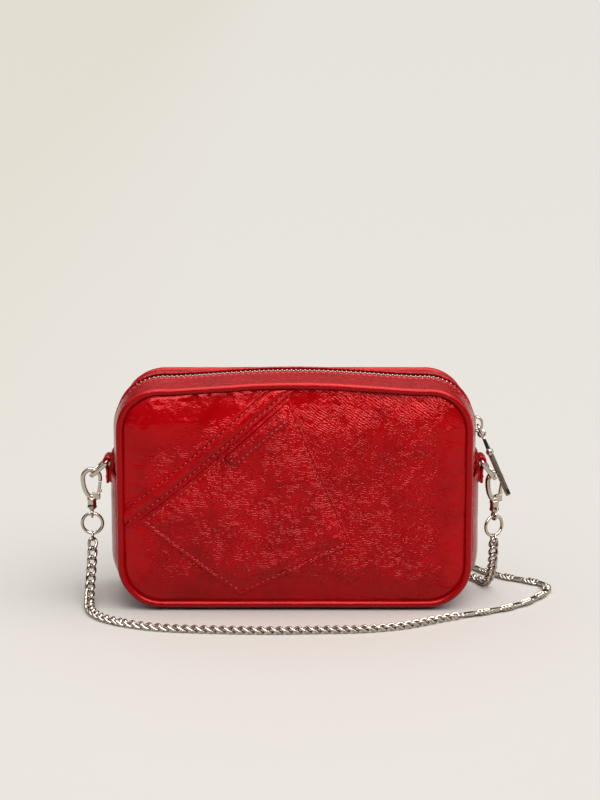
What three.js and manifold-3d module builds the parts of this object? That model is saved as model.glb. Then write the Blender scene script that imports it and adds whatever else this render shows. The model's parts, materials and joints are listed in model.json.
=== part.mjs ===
// A small zip-top shoulder bag with a detachable chain strap, in millimetres.
// +X is to the right as the front is seen, -Y is the front, +Z is up.
// The origin is on the ground under the middle of the bag.
import * as THREE from "three";
import { mergeVertices } from "three/addons/utils/BufferGeometryUtils.js";
import Module from "manifold-3d";

const wasm = await Module();
wasm.setup();

const GAP = 0.3; // clearance between pieces that touch

// Shell
const PIPING_Y = 28;
const PIPING_RADIUS = 2;
const PIPING_HALF_WIDTH = 90;
const PIPING_BOTTOM = 3.2;
const PIPING_TOP = 116;
const PIPING_CORNER = 21;
const PANEL_INSET = PIPING_RADIUS + GAP + 0.1;
const PANEL_FACE_Y = 29.5;
const PANEL_THICKNESS = 3.2;
const PANEL_BEVEL = 0.9;
const BAND_HALF_DEPTH = PIPING_Y - PIPING_RADIUS - GAP;
const BAND_HALF_WIDTH = 93.5;
const BAND_CORNER = 25.5;
const BAND_END_Z = 70;
const GUSSET_THICKNESS = 1.5;
const GUSSET_BULGE = 2.5;
const STRIP_THICKNESS = 1.4;
const STRIP_RISE = 1;
const STRIP_EDGE_Y = 5.5;
const EDGE_DROP = 1.5;

// Zip, measured outward from the line it runs along
const ZIP_TOP = 118.5;
const ZIP_END_Z = 77;
const TAPE = { inner: 2.5, outer: 9, low: -1.8, high: -1.2 };
const TEETH = { inner: 0.5, outer: 2.2, low: -2.5, high: -0.5 };
const STOP = { halfDepth: 1.1, halfWidth: 2.2, length: 2 };
const SLIDER = { length: 9, halfWidth: 4.2, outerLow: -0.2, outerHigh: 1.2, innerLow: -4, innerHigh: -3.3 };

// Lining and stiffener
const LINING_HALF_WIDTH = 86;
const LINING_BOTTOM = 6;
const LINING_TOP = 100;
const LINING_HALF_DEPTH = 24.8;
const LINING_CORNER = 18;
const LINING_WALL = 0.8;
const POCKET = { halfWidth: 50, bottom: 40, top: 86, corner: 8, thickness: 1.4 };
const BOARD = { halfWidth: 66, halfDepth: 20, corner: 4, bottom: 4.1, thickness: 1.4 };

// Side fittings, drawn about the ring's bar
const TAB = { halfWidth: 5, below: 12, above: 4.6, foot: 1.6, front: 2.7 };
const RING_BAR_X = 98;
const RING_BAR_Z = 74;
const RING_TILT = { "-1": THREE.MathUtils.degToRad(43), 1: THREE.MathUtils.degToRad(53) };
const RING_DEPTH = 12.5;
const RING_HALF_WIDTH = 6.5;
const RING_WIRE = 1.2;
const HOOK_TURN_RIGHT = THREE.MathUtils.degToRad(33);
const HOOK_THICKNESS = 2.4;
const HOOK_BEND = 4.6;
const HOOK_BEND_Z = -1.65;
const HOOK_HALF_WIRE = 1.1;
const GATE_PIVOT = new THREE.Vector2(3.5, -10.2);
const GATE_TIP = new THREE.Vector2(4.6, -3.4);
const GATE_HALF_DEPTH = 0.5;
const BARREL_TOP = -12.6;
const BARREL_BOTTOM = -18;
const EYE_Z = -20.9;
const O_RING_RADIUS = 5.4;
const O_RING_WIRE = 0.87;

// Strap
const CHAIN_RADIUS = 2.8;
const CHAIN_SIDES = 8;
const COIL = { x: 28, y: 84, inner: 27.4, outer: 38.7, low: 0.2, high: 8.8, bevel: 2 };

const colours = {
  leather: [0x9c0408, 0.22, 0],
  relief: [0xa10509, 0.18, 0],
  tape: [0x4a0a0d, 0.85, 0],
  metal: [0xc9c4bc, 0.22, 1],
  lining: [0x5a1a1c, 0.9, 0],
  board: [0x3a332c, 0.9, 0],
};

function makeMesh(name, geometry, colour) {
  const [color, roughness, metalness] = colours[colour];
  const mesh = new THREE.Mesh(geometry, new THREE.MeshStandardMaterial({ color, roughness, metalness }));
  mesh.name = name;
  return mesh;
}

// ---- Helpers ----

// A curve in space drawn as a flat path; place turns the path's (u, v) into a point.
class PlacedPath extends THREE.Curve {
  constructor(path, place) {
    super();
    this.path = path;
    this.place = place;
  }
  getPoint(t, target = new THREE.Vector3()) {
    const flat = this.path.getPoint(t);
    return target.copy(this.place(flat.x, flat.y));
  }
}

// Adds a rounded rectangle, symmetric about x = 0, to a path.
function roundedRectangle(path, halfWidth, bottom, top, radius) {
  const right = halfWidth - radius;
  path.moveTo(-right, bottom);
  path.lineTo(right, bottom);
  path.absarc(right, bottom + radius, radius, -Math.PI / 2, 0);
  path.lineTo(halfWidth, top - radius);
  path.absarc(right, top - radius, radius, 0, Math.PI / 2);
  path.lineTo(-right, top);
  path.absarc(-right, top - radius, radius, Math.PI / 2, Math.PI);
  path.lineTo(-halfWidth, bottom + radius);
  path.absarc(-right, bottom + radius, radius, Math.PI, (3 * Math.PI) / 2);
  return path;
}

// A flat shape drawn in x and z, as a plate from y = back - depth to y = back.
function plate(shape, back, depth, bevel = 0, curveSegments = 8) {
  const geometry = new THREE.ExtrudeGeometry(shape, {
    depth: depth - 2 * bevel,
    bevelEnabled: bevel > 0,
    bevelThickness: bevel,
    bevelSize: bevel,
    bevelOffset: -bevel,
    bevelSegments: 1,
    curveSegments,
  });
  return geometry.rotateX(Math.PI / 2).translate(0, back - bevel, 0);
}

function polygon(points) {
  return new THREE.Shape(points.map(([x, y]) => new THREE.Vector2(x, y)));
}

function toSolid(geometry) {
  const bare = geometry.clone();
  bare.deleteAttribute("normal");
  bare.deleteAttribute("uv");
  const merged = mergeVertices(bare, 1e-4);
  const vertProperties = merged.attributes.position.array;
  const triVerts = new Uint32Array(merged.index.array);
  return new wasm.Manifold(new wasm.Mesh({ numProp: 3, vertProperties, triVerts }));
}

function toGeometry(solid) {
  const mesh = solid.getMesh();
  const geometry = new THREE.BufferGeometry();
  geometry.setAttribute("position", new THREE.BufferAttribute(mesh.vertProperties, 3));
  geometry.setIndex(new THREE.BufferAttribute(mesh.triVerts, 1));
  geometry.computeVertexNormals();
  return geometry;
}

function join(first, ...others) {
  return toGeometry(others.reduce((solid, other) => solid.add(toSolid(other)), toSolid(first)));
}

function cut(first, ...others) {
  return toGeometry(others.reduce((solid, other) => solid.subtract(toSolid(other)), toSolid(first)));
}

function box(low, high) {
  const size = high.map((value, i) => value - low[i]);
  const middle = high.map((value, i) => (value + low[i]) / 2);
  return new THREE.BoxGeometry(...size).translate(...middle);
}

function cylinderAlongY(radius, halfLength, x, z, sides = 16) {
  return new THREE.CylinderGeometry(radius, radius, 2 * halfLength, sides).translate(x, 0, z);
}

// ---- Shell ----

function pipingLoop() {
  return roundedRectangle(new THREE.Path(), PIPING_HALF_WIDTH, PIPING_BOTTOM, PIPING_TOP, PIPING_CORNER);
}

function makePiping(name, y) {
  const loop = new PlacedPath(pipingLoop(), (u, v) => new THREE.Vector3(u, y, v));
  return makeMesh(name, new THREE.TubeGeometry(loop, 72, PIPING_RADIUS, 6, true), "leather");
}

function panelShape() {
  return roundedRectangle(
    new THREE.Shape(),
    PIPING_HALF_WIDTH - PANEL_INSET,
    PIPING_BOTTOM + PANEL_INSET,
    PIPING_TOP - PANEL_INSET,
    PIPING_CORNER - PANEL_INSET,
  );
}

function makePanels() {
  const front = plate(panelShape(), PANEL_THICKNESS - PANEL_FACE_Y, PANEL_THICKNESS, PANEL_BEVEL, 6);
  const back = plate(panelShape(), PANEL_FACE_Y, PANEL_THICKNESS, PANEL_BEVEL, 6);
  return [makeMesh("front_panel", front, "leather"), makeMesh("back_panel", back, "leather")];
}

// The line that a side band follows: up or down a side, round a corner, along, and back.
function bandLine(endZ, turnZ) {
  const way = Math.sign(turnZ - endZ);
  const path = new THREE.Path();
  const arcZ = turnZ - way * BAND_CORNER;
  const arcX = BAND_HALF_WIDTH - BAND_CORNER;
  path.moveTo(-BAND_HALF_WIDTH, endZ);
  path.lineTo(-BAND_HALF_WIDTH, arcZ);
  path.absarc(-arcX, arcZ, BAND_CORNER, Math.PI, (way * Math.PI) / 2, way > 0);
  path.lineTo(arcX, turnZ);
  path.absarc(arcX, arcZ, BAND_CORNER, (way * Math.PI) / 2, 0, way > 0);
  path.lineTo(BAND_HALF_WIDTH, endZ);
  return new PlacedPath(path, (u, v) => new THREE.Vector3(u, 0, v));
}

// A band swept along a line; section points are (y, distance outward from the line).
function sweepBand(line, section, outwardSign, steps) {
  const shape = polygon(section.map(([y, outward]) => [-y, outwardSign * outward]));
  return new THREE.ExtrudeGeometry(shape, { extrudePath: line, steps });
}

const GUSSET_LINE = bandLine(BAND_END_Z, GUSSET_BULGE);
const ZIP_LINE = bandLine(ZIP_END_Z, ZIP_TOP);

function makeGusset() {
  const profile = [
    [-BAND_HALF_DEPTH, -EDGE_DROP],
    [-20, 0.5],
    [-10, GUSSET_BULGE],
    [10, GUSSET_BULGE],
    [20, 0.5],
    [BAND_HALF_DEPTH, -EDGE_DROP],
  ];
  const inside = profile.map(([y, outward]) => [y, outward - GUSSET_THICKNESS]).reverse();
  return makeMesh("gusset", sweepBand(GUSSET_LINE, [...profile, ...inside], 1, 44), "leather");
}

// The two leather strips that carry the zip, side is -1 at the front and 1 at the back.
function makeZipStrip(name, side) {
  const line = bandLine(BAND_END_Z + GAP, ZIP_TOP);
  const profile = [
    [side * BAND_HALF_DEPTH, -EDGE_DROP],
    [side * 15, STRIP_RISE - 0.6],
    [side * STRIP_EDGE_Y, STRIP_RISE],
  ];
  const inside = profile.map(([y, outward]) => [y, outward - STRIP_THICKNESS]).reverse();
  return makeMesh(name, sweepBand(line, [...profile, ...inside], -1, 40), "leather");
}

function zipBar(side, size) {
  const section = [
    [side * size.inner, size.low],
    [side * size.outer, size.low],
    [side * size.outer, size.high],
    [side * size.inner, size.high],
  ];
  return sweepBand(ZIP_LINE, section, -1, 40);
}

function makeZipSide(word, side) {
  return [
    makeZipStrip("zip_strip_" + word, side),
    makeMesh("zip_tape_" + word, zipBar(side, TAPE), "tape"),
    makeMesh("zip_teeth_" + word, zipBar(side, TEETH), "metal"),
  ];
}

function makeZipStop(name, side) {
  const x = side * (BAND_HALF_WIDTH - (TEETH.high - TEETH.low) / 2 + TEETH.high);
  const top = ZIP_END_Z - GAP;
  const stop = box(
    [x - STOP.halfDepth, -STOP.halfWidth, top - STOP.length],
    [x + STOP.halfDepth, STOP.halfWidth, top],
  );
  return makeMesh(name, stop, "metal");
}

// ---- Inside ----

function makeLining() {
  const outer = roundedRectangle(
    new THREE.Shape(), LINING_HALF_WIDTH, LINING_BOTTOM, LINING_TOP + LINING_CORNER, LINING_CORNER,
  );
  const inner = roundedRectangle(
    new THREE.Shape(),
    LINING_HALF_WIDTH - LINING_WALL,
    LINING_BOTTOM + LINING_WALL,
    LINING_TOP + 2 * LINING_CORNER,
    LINING_CORNER - LINING_WALL,
  );
  const skin = plate(outer, LINING_HALF_DEPTH, 2 * LINING_HALF_DEPTH, 0, 6);
  const hollow = plate(inner, LINING_HALF_DEPTH - LINING_WALL, 2 * (LINING_HALF_DEPTH - LINING_WALL), 0, 6);
  const above = box(
    [-2 * LINING_HALF_WIDTH, -2 * LINING_HALF_DEPTH, LINING_TOP],
    [2 * LINING_HALF_WIDTH, 2 * LINING_HALF_DEPTH, 2 * LINING_TOP],
  );
  return makeMesh("lining", cut(skin, hollow, above), "lining");
}

function makeSlipPocket() {
  const { halfWidth, bottom, top, corner, thickness } = POCKET;
  const shape = roundedRectangle(new THREE.Shape(), halfWidth, bottom, top, corner);
  const back = LINING_HALF_DEPTH - LINING_WALL - GAP;
  return makeMesh("slip_pocket", plate(shape, back, thickness), "lining");
}

function makeBaseBoard() {
  const { halfWidth, halfDepth, corner, bottom, thickness } = BOARD;
  const shape = roundedRectangle(new THREE.Shape(), halfWidth, -halfDepth, halfDepth, corner);
  const board = new THREE.ExtrudeGeometry(shape, { depth: thickness, bevelEnabled: false, curveSegments: 4 });
  return makeMesh("base_board", board.translate(0, 0, bottom), "board");
}

// ---- Pieces sewn on the front ----

// The band's edges rise to the right; height of an edge above the ground at x.
const BAND_SLOPE = 0.8;
const BAND_LOW_AT_0 = 113.4;
const BAND_HIGH_AT_0 = 126.8;
const BAND_LEFT = -86.2;
const BAND_TOP = 112;
const BAND_THICKNESS = 1.4;
const RELIEF = { left: -80, foot: [-28, 8], right: [30, 37], top: -3, belowBand: 0.6, thickness: 1 };
const PATCH = { lowX: [-30, -2], highX: [-7, -36], lowBelowBand: 12.6, highBelowBand: 3, thickness: 0.8 };

function bandEdge(x, heightAt0) {
  return heightAt0 + BAND_SLOPE * x;
}

function bandEdgeX(z, heightAt0) {
  return (z - heightAt0) / BAND_SLOPE;
}

function frontPiece(name, points, lift, thickness) {
  return makeMesh(name, plate(polygon(points), -PANEL_FACE_Y - lift, thickness), "relief");
}

function makeDiagonalBand() {
  const points = [
    [BAND_LEFT, bandEdge(BAND_LEFT, BAND_LOW_AT_0)],
    [bandEdgeX(BAND_TOP, BAND_LOW_AT_0), BAND_TOP],
    [bandEdgeX(BAND_TOP, BAND_HIGH_AT_0), BAND_TOP],
    [BAND_LEFT, bandEdge(BAND_LEFT, BAND_HIGH_AT_0)],
  ];
  return frontPiece("diagonal_band", points, GAP, BAND_THICKNESS);
}

// A padded kite under the band, its upper left edge along the band.
function makeReliefPatch() {
  const { left, foot, right, top, belowBand, thickness } = RELIEF;
  const edge = BAND_LOW_AT_0 - belowBand;
  const points = [[left, bandEdge(left, edge)], foot, right, [top, bandEdge(top, edge)]];
  return frontPiece("relief_patch", points, GAP, thickness);
}

// A small stitched rectangle on the kite, its long edges along the band.
function makeStitchedPatch() {
  const { lowX, highX, lowBelowBand, highBelowBand, thickness } = PATCH;
  const points = [
    ...lowX.map((x) => [x, bandEdge(x, BAND_LOW_AT_0 - lowBelowBand)]),
    ...highX.map((x) => [x, bandEdge(x, BAND_LOW_AT_0 - highBelowBand)]),
  ];
  return frontPiece("stitched_patch", points, GAP + RELIEF.thickness + GAP, thickness);
}

// ---- Zip slider and pull ----

const SLIDER_Z = ZIP_TOP - BAND_CORNER;
const BRIDGE = { outer: 3.1, inner: 1.8, top: 5, halfDepth: 1.2 };
const LINK_TOP = new THREE.Vector3(BAND_HALF_WIDTH + 2.75, 0, SLIDER_Z - 0.9);
const LINK_LEAN = THREE.MathUtils.degToRad(25);
const LINK_DROP = 4.6;
const LINK_HALF_WIDTH = 2.6;
const LINK_CORNER = 1;
const LINK_WIRE = 0.7;
const PULL = {
  eye: 2.3, hole: 1.2, halfDepth: 0.8, armHalf: 1.1, armTop: -1.9, collarTop: -9.6, collarFoot: -11.9,
};
const PULL_ROD = { collar: 1.9, radius: 1.35, foot: -35.5, chamfer: 0.4 };
const PULL_LEAN = THREE.MathUtils.degToRad(-24);
const PULL_FORWARD = THREE.MathUtils.degToRad(-12);

function makeSlider() {
  const half = SLIDER.length / 2;
  const x = BAND_HALF_WIDTH;
  const plateBox = (low, high, width) =>
    box([x + low, -width, SLIDER_Z - half], [x + high, width, SLIDER_Z + half]);
  const outerPlate = plateBox(SLIDER.outerLow, SLIDER.outerHigh, SLIDER.halfWidth);
  const innerPlate = plateBox(SLIDER.innerLow, SLIDER.innerHigh, SLIDER.halfWidth);
  const neck = box(
    [x + SLIDER.innerHigh - 0.1, -0.2, SLIDER_Z - 2],
    [x + SLIDER.outerLow + 0.1, 0.2, SLIDER_Z + 2],
  );
  const arch = new THREE.Shape();
  arch.moveTo(-BRIDGE.outer, 0);
  arch.lineTo(BRIDGE.outer, 0);
  arch.lineTo(BRIDGE.outer - 0.6, BRIDGE.top - SLIDER.outerHigh - 0.8);
  arch.lineTo(BRIDGE.outer - 1.6, BRIDGE.top - SLIDER.outerHigh);
  arch.lineTo(-BRIDGE.outer + 1.6, BRIDGE.top - SLIDER.outerHigh);
  arch.lineTo(-BRIDGE.outer + 0.6, BRIDGE.top - SLIDER.outerHigh - 0.8);
  const window = roundedRectangle(new THREE.Path(), BRIDGE.inner, 0.3, 2.7, 0.5);
  arch.holes.push(window);
  const bridge = new THREE.ExtrudeGeometry(arch, {
    depth: 2 * BRIDGE.halfDepth, bevelEnabled: false, curveSegments: 3,
  });
  bridge.translate(0, 0, -BRIDGE.halfDepth).rotateX(Math.PI / 2).rotateY(Math.PI / 2);
  bridge.translate(x + SLIDER.outerHigh - 0.05, 0, SLIDER_Z);
  return makeMesh("zip_slider", join(outerPlate, innerPlate, neck, bridge), "metal");
}

function makePullLink() {
  const path = roundedRectangle(new THREE.Path(), LINK_HALF_WIDTH, -LINK_DROP, 0, LINK_CORNER);
  const place = (u, v) =>
    new THREE.Vector3(
      LINK_TOP.x - v * Math.sin(LINK_LEAN), u, LINK_TOP.z + v * Math.cos(LINK_LEAN),
    );
  const loop = new THREE.TubeGeometry(new PlacedPath(path, place), 32, LINK_WIRE, 8, true);
  return makeMesh("pull_link", loop, "metal");
}

// The pull hangs from its own origin, straight down -Z, before it is leaned.
function makePull() {
  const eyeShape = new THREE.Shape();
  eyeShape.absarc(0, 0, PULL.eye, 0, Math.PI * 2);
  const hole = new THREE.Path();
  hole.absarc(0, 0, PULL.hole, 0, Math.PI * 2);
  eyeShape.holes.push(hole);
  const eye = plate(eyeShape, PULL.halfDepth, 2 * PULL.halfDepth);
  const arm = box(
    [-PULL.armHalf, -PULL.halfDepth, PULL.collarTop],
    [PULL.armHalf, PULL.halfDepth, PULL.armTop],
  );
  const { collar, radius, foot, chamfer } = PULL_ROD;
  const rod = new THREE.LatheGeometry(
    [
      [0, foot], [radius - chamfer, foot], [radius, foot + chamfer], [radius, PULL.collarFoot - chamfer],
      [collar, PULL.collarFoot], [collar, PULL.collarTop], [collar - chamfer, PULL.collarTop + chamfer],
      [0, PULL.collarTop + chamfer],
    ].map(([r, z]) => new THREE.Vector2(r, z)),
    12,
  ).rotateX(Math.PI / 2);
  const pull = makeMesh("pull_bar", join(eye, arm, rod), "metal");
  pull.geometry.rotateX(PULL_FORWARD).rotateY(PULL_LEAN);
  pull.position.set(
    LINK_TOP.x + LINK_DROP * Math.sin(LINK_LEAN), 0, LINK_TOP.z - LINK_DROP * Math.cos(LINK_LEAN),
  );
  return pull;
}

// ---- Side fittings; side is -1 at the left and 1 at the right ----

// The leather loop at the end of the zip strips, with a sleeve for the ring's bar.
function makeTab(name, side) {
  const back = BAND_HALF_WIDTH + GUSSET_BULGE + GAP;
  const front = RING_BAR_X + TAB.front;
  const outline = [
    [back, -TAB.below],
    [back + TAB.foot, -TAB.below],
    [front, -TAB.front - GAP],
    [front + 0.2, 0],
    [front - 0.8, TAB.front],
    [back + TAB.foot, TAB.above],
    [back, TAB.above],
  ];
  const shape = polygon(outline.map(([x, z]) => [side * x, RING_BAR_Z + z]));
  const tab = plate(shape, TAB.halfWidth, 2 * TAB.halfWidth);
  const sleeve = cylinderAlongY(RING_WIRE + 0.4, 8, side * RING_BAR_X, RING_BAR_Z, 12);
  return makeMesh(name, cut(tab, sleeve), "leather");
}

function ringEnd(side) {
  return new THREE.Vector3(
    side * (RING_BAR_X + RING_DEPTH * Math.cos(RING_TILT[side])),
    0,
    RING_BAR_Z - RING_DEPTH * Math.sin(RING_TILT[side]),
  );
}

function makeRing(name, side) {
  const path = new THREE.Path();
  const bend = 1.4;
  const half = RING_HALF_WIDTH;
  path.moveTo(-half + bend, 0);
  path.lineTo(half - bend, 0);
  path.absarc(half - bend, bend, bend, -Math.PI / 2, 0);
  path.lineTo(half, RING_DEPTH - half);
  path.absarc(0, RING_DEPTH - half, half, 0, Math.PI);
  path.lineTo(-half, bend);
  path.absarc(-half + bend, bend, bend, Math.PI, (3 * Math.PI) / 2);
  const place = (u, v) =>
    new THREE.Vector3(
      side * (RING_BAR_X + v * Math.cos(RING_TILT[side])), u, RING_BAR_Z - v * Math.sin(RING_TILT[side]),
    );
  return makeMesh(name, new THREE.TubeGeometry(new PlacedPath(path, place), 40, RING_WIRE, 8, true), "metal");
}

// A flat outline of constant width along a path.
function strokeShape(path, halfWidth, divisions) {
  const points = path.getSpacedPoints(divisions);
  const sides = [[], []];
  points.forEach((point, i) => {
    const before = points[Math.max(i - 1, 0)];
    const after = points[Math.min(i + 1, divisions)];
    const along = after.clone().sub(before).normalize();
    const across = new THREE.Vector2(-along.y, along.x).multiplyScalar(halfWidth);
    sides[0].push(point.clone().add(across));
    sides[1].push(point.clone().sub(across));
  });
  return new THREE.Shape([...sides[0], ...sides[1].reverse()]);
}

// The hook, drawn about the wire it hangs on: a bend open at one side, cheeks, gate pin and barrel.
function makeHookFrame(name) {
  const path = new THREE.Path();
  path.moveTo(0.4, -12.9);
  path.bezierCurveTo(-2.6, -11.4, -HOOK_BEND, -7, -HOOK_BEND, HOOK_BEND_Z);
  path.absarc(0, HOOK_BEND_Z, HOOK_BEND, Math.PI, 0, true);
  const half = HOOK_THICKNESS / 2;
  const bend = plate(strokeShape(path, HOOK_HALF_WIRE, 20), half, HOOK_THICKNESS);
  const cheekShape = polygon([
    [-1, -13.2],
    [1.6, -13.2],
    [GATE_PIVOT.x + 1.2, GATE_PIVOT.y - 0.8],
    [GATE_PIVOT.x + 0.9, GATE_PIVOT.y + 0.9],
    [GATE_PIVOT.x - 0.9, GATE_PIVOT.y + 0.7],
    [-1, -12],
  ]);
  const gapDepth = GATE_HALF_DEPTH + GAP;
  const frontCheek = plate(cheekShape, -gapDepth, half - gapDepth);
  const backCheek = plate(cheekShape, half, half - gapDepth);
  const pin = cylinderAlongY(0.55, half - 0.2, GATE_PIVOT.x, GATE_PIVOT.y, 10);
  const barrel = new THREE.LatheGeometry(
    [
      [1.4, BARREL_BOTTOM], [2.6, BARREL_BOTTOM], [2.6, BARREL_TOP + 0.5], [1.4, BARREL_TOP + 0.5],
      [1.4, BARREL_BOTTOM],
    ].map(([r, z]) => new THREE.Vector2(r, z)),
    14,
  ).rotateX(Math.PI / 2);
  const headRoom = new THREE.CylinderGeometry(2.2, 2.2, 2.6, 14).rotateX(Math.PI / 2);
  headRoom.translate(0, 0, BARREL_TOP + 1.8);
  const bore = new THREE.CylinderGeometry(1.4, 1.4, 8, 14).rotateX(Math.PI / 2);
  bore.translate(0, 0, BARREL_TOP);
  const body = join(bend, frontCheek, backCheek, pin, barrel);
  return makeMesh(name, cut(body, bore, headRoom), "metal");
}

function makeGate(name) {
  const along = GATE_TIP.clone().sub(GATE_PIVOT);
  const across = new THREE.Vector2(-along.y, along.x).normalize().multiplyScalar(0.8);
  const corners = [
    GATE_PIVOT.clone().add(across), GATE_PIVOT.clone().sub(across),
    GATE_TIP.clone().sub(across), GATE_TIP.clone().add(across),
  ];
  const bar = plate(new THREE.Shape(corners), GATE_HALF_DEPTH, 2 * GATE_HALF_DEPTH);
  const eye = cylinderAlongY(1.5, GATE_HALF_DEPTH, GATE_PIVOT.x, GATE_PIVOT.y, 14);
  const hole = cylinderAlongY(0.9, 3, GATE_PIVOT.x, GATE_PIVOT.y, 14);
  return makeMesh(name, cut(join(bar, eye), hole), "metal");
}

// The stud turns in the hook's barrel, and its eye holds the O-ring.
function makeSwivel(name) {
  const stud = new THREE.LatheGeometry(
    [
      [0, EYE_Z + 1.9], [1.1, EYE_Z + 1.9], [1.1, BARREL_TOP + 0.8], [1.7, BARREL_TOP + 0.8],
      [1.5, BARREL_TOP + 1.8], [0, BARREL_TOP + 2],
    ].map(([r, z]) => new THREE.Vector2(r, z)),
    14,
  ).rotateX(Math.PI / 2);
  const eye = new THREE.CylinderGeometry(2.5, 2.5, 2, 16).rotateZ(Math.PI / 2).translate(0, 0, EYE_Z);
  const hole = new THREE.CylinderGeometry(1.25, 1.25, 4, 16).rotateZ(Math.PI / 2).translate(0, 0, EYE_Z);
  return makeMesh(name, cut(join(stud, eye), hole), "metal");
}

function makeORing(name) {
  const ring = new THREE.TorusGeometry(O_RING_RADIUS, O_RING_WIRE, 8, 28).rotateX(Math.PI / 2);
  return makeMesh(name, ring.translate(0, 0, EYE_Z - O_RING_RADIUS), "metal");
}

function makeSide(word, side, turn) {
  const group = new THREE.Group();
  const clip = new THREE.Group();
  clip.position.copy(ringEnd(side));
  clip.rotation.z = turn;
  clip.add(
    makeHookFrame("hook_" + word),
    makeGate("gate_" + word),
    makeSwivel("swivel_" + word),
    makeORing("o_ring_" + word),
  );
  group.add(makeTab("tab_" + word, side), makeRing("ring_" + word, side), clip);
  return group;
}

// ---- Chain strap ----

const FLOOR_Z = CHAIN_RADIUS + 0.2;
const STRAP_TOP = EYE_Z - 2 * O_RING_RADIUS - O_RING_WIRE - GAP;

function strapEnd(side) {
  return ringEnd(side).add(new THREE.Vector3(0, 0, STRAP_TOP)).toArray();
}

// Where the strap lies, point by point; it hangs from each hook and rests on the ground.
const LEFT_DROP = [
  strapEnd(-1), [-107.3, -3, 24], [-107.6, -10, 13.5], [-107.5, -19, 6], [-106.8, -28.5, FLOOR_Z],
];
const FRONT_RUN = [
  [-106.5, -30, FLOOR_Z], [-104, -38, FLOOR_Z], [-98, -47, FLOOR_Z], [-88, -54.7, FLOOR_Z],
  [-76, -60.5, FLOOR_Z], [-62, -64.3, FLOOR_Z], [-38, -66.8, FLOOR_Z], [-12.5, -68, FLOOR_Z],
  [12, -67, FLOOR_Z], [34, -65.5, FLOOR_Z], [53, -60.5, FLOOR_Z], [66, -53.5, FLOOR_Z],
  [79, -45.5, FLOOR_Z], [96, -37.5, FLOOR_Z], [110, -29.5, FLOOR_Z], [121, -20, FLOOR_Z],
  [129, -9, FLOOR_Z], [134.5, 2, FLOOR_Z], [134, 12, FLOOR_Z], [127.5, 19, FLOOR_Z],
  [118, 25, FLOOR_Z], [108, 34, FLOOR_Z], [99, 46, FLOOR_Z], [92, 60, FLOOR_Z],
  [88, 76, FLOOR_Z], [83, 92, FLOOR_Z], [74, 106, FLOOR_Z], [60, 115, FLOOR_Z],
];
const BACK_RUN = [
  [51, 47.5, FLOOR_Z], [66, 47, FLOOR_Z], [80, 42, FLOOR_Z], [91, 33.5, FLOOR_Z], [98, 25, FLOOR_Z],
  [101.4, 18.6, FLOOR_Z],
];
const RIGHT_DROP = [
  [101.9, 17.4, FLOOR_Z], [103.3, 13.4, 4.4], [104.8, 9, 9], [105.4, 4.5, 16], [105.5, 1.2, 24], strapEnd(1),
];

function makeChainTube(name, points, steps) {
  const curve = new THREE.CatmullRomCurve3(points.map((p) => new THREE.Vector3(...p)));
  const section = new THREE.Shape();
  for (let i = 0; i < CHAIN_SIDES; i += 1) {
    const angle = (2 * Math.PI * (i + 0.5)) / CHAIN_SIDES;
    const [x, y] = [CHAIN_RADIUS * Math.cos(angle), CHAIN_RADIUS * Math.sin(angle)];
    if (i === 0) section.moveTo(x, y);
    else section.lineTo(x, y);
  }
  return makeMesh(name, new THREE.ExtrudeGeometry(section, { extrudePath: curve, steps }), "metal");
}

function makeCoil() {
  const { inner, outer, low, high, bevel } = COIL;
  const profile = [
    [inner + bevel, low], [outer - bevel, low], [outer, low + bevel], [outer, high - bevel],
    [outer - bevel, high], [inner + bevel, high], [inner, high - bevel], [inner, low + bevel],
    [inner + bevel, low],
  ];
  const points = profile.map(([r, z]) => new THREE.Vector2(r, z));
  const ring = new THREE.LatheGeometry(points, 32).rotateX(Math.PI / 2);
  return makeMesh("chain_coil", ring.translate(COIL.x, COIL.y, 0), "metal");
}

function makeStrap() {
  return [
    makeChainTube("chain_left_drop", LEFT_DROP, 6),
    makeChainTube("chain_front_run", FRONT_RUN, 44),
    makeCoil(),
    makeChainTube("chain_back_run", BACK_RUN, 6),
    makeChainTube("chain_right_drop", RIGHT_DROP, 6),
  ];
}

// ---- The whole bag ----

const bag = new THREE.Group();
bag.add(
  ...makePanels(),
  makePiping("front_piping", -PIPING_Y),
  makePiping("back_piping", PIPING_Y),
  makeGusset(),
  ...makeZipSide("front", -1),
  ...makeZipSide("back", 1),
  makeZipStop("zip_stop_left", -1),
  makeZipStop("zip_stop_right", 1),
  makeLining(),
  makeSlipPocket(),
  makeBaseBoard(),
  makeDiagonalBand(),
  makeReliefPatch(),
  makeStitchedPatch(),
  makeSlider(),
  makePullLink(),
  makePull(),
  makeSide("left", -1, 0),
  makeSide("right", 1, HOOK_TURN_RIGHT),
  ...makeStrap(),
);

export default bag;
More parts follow.
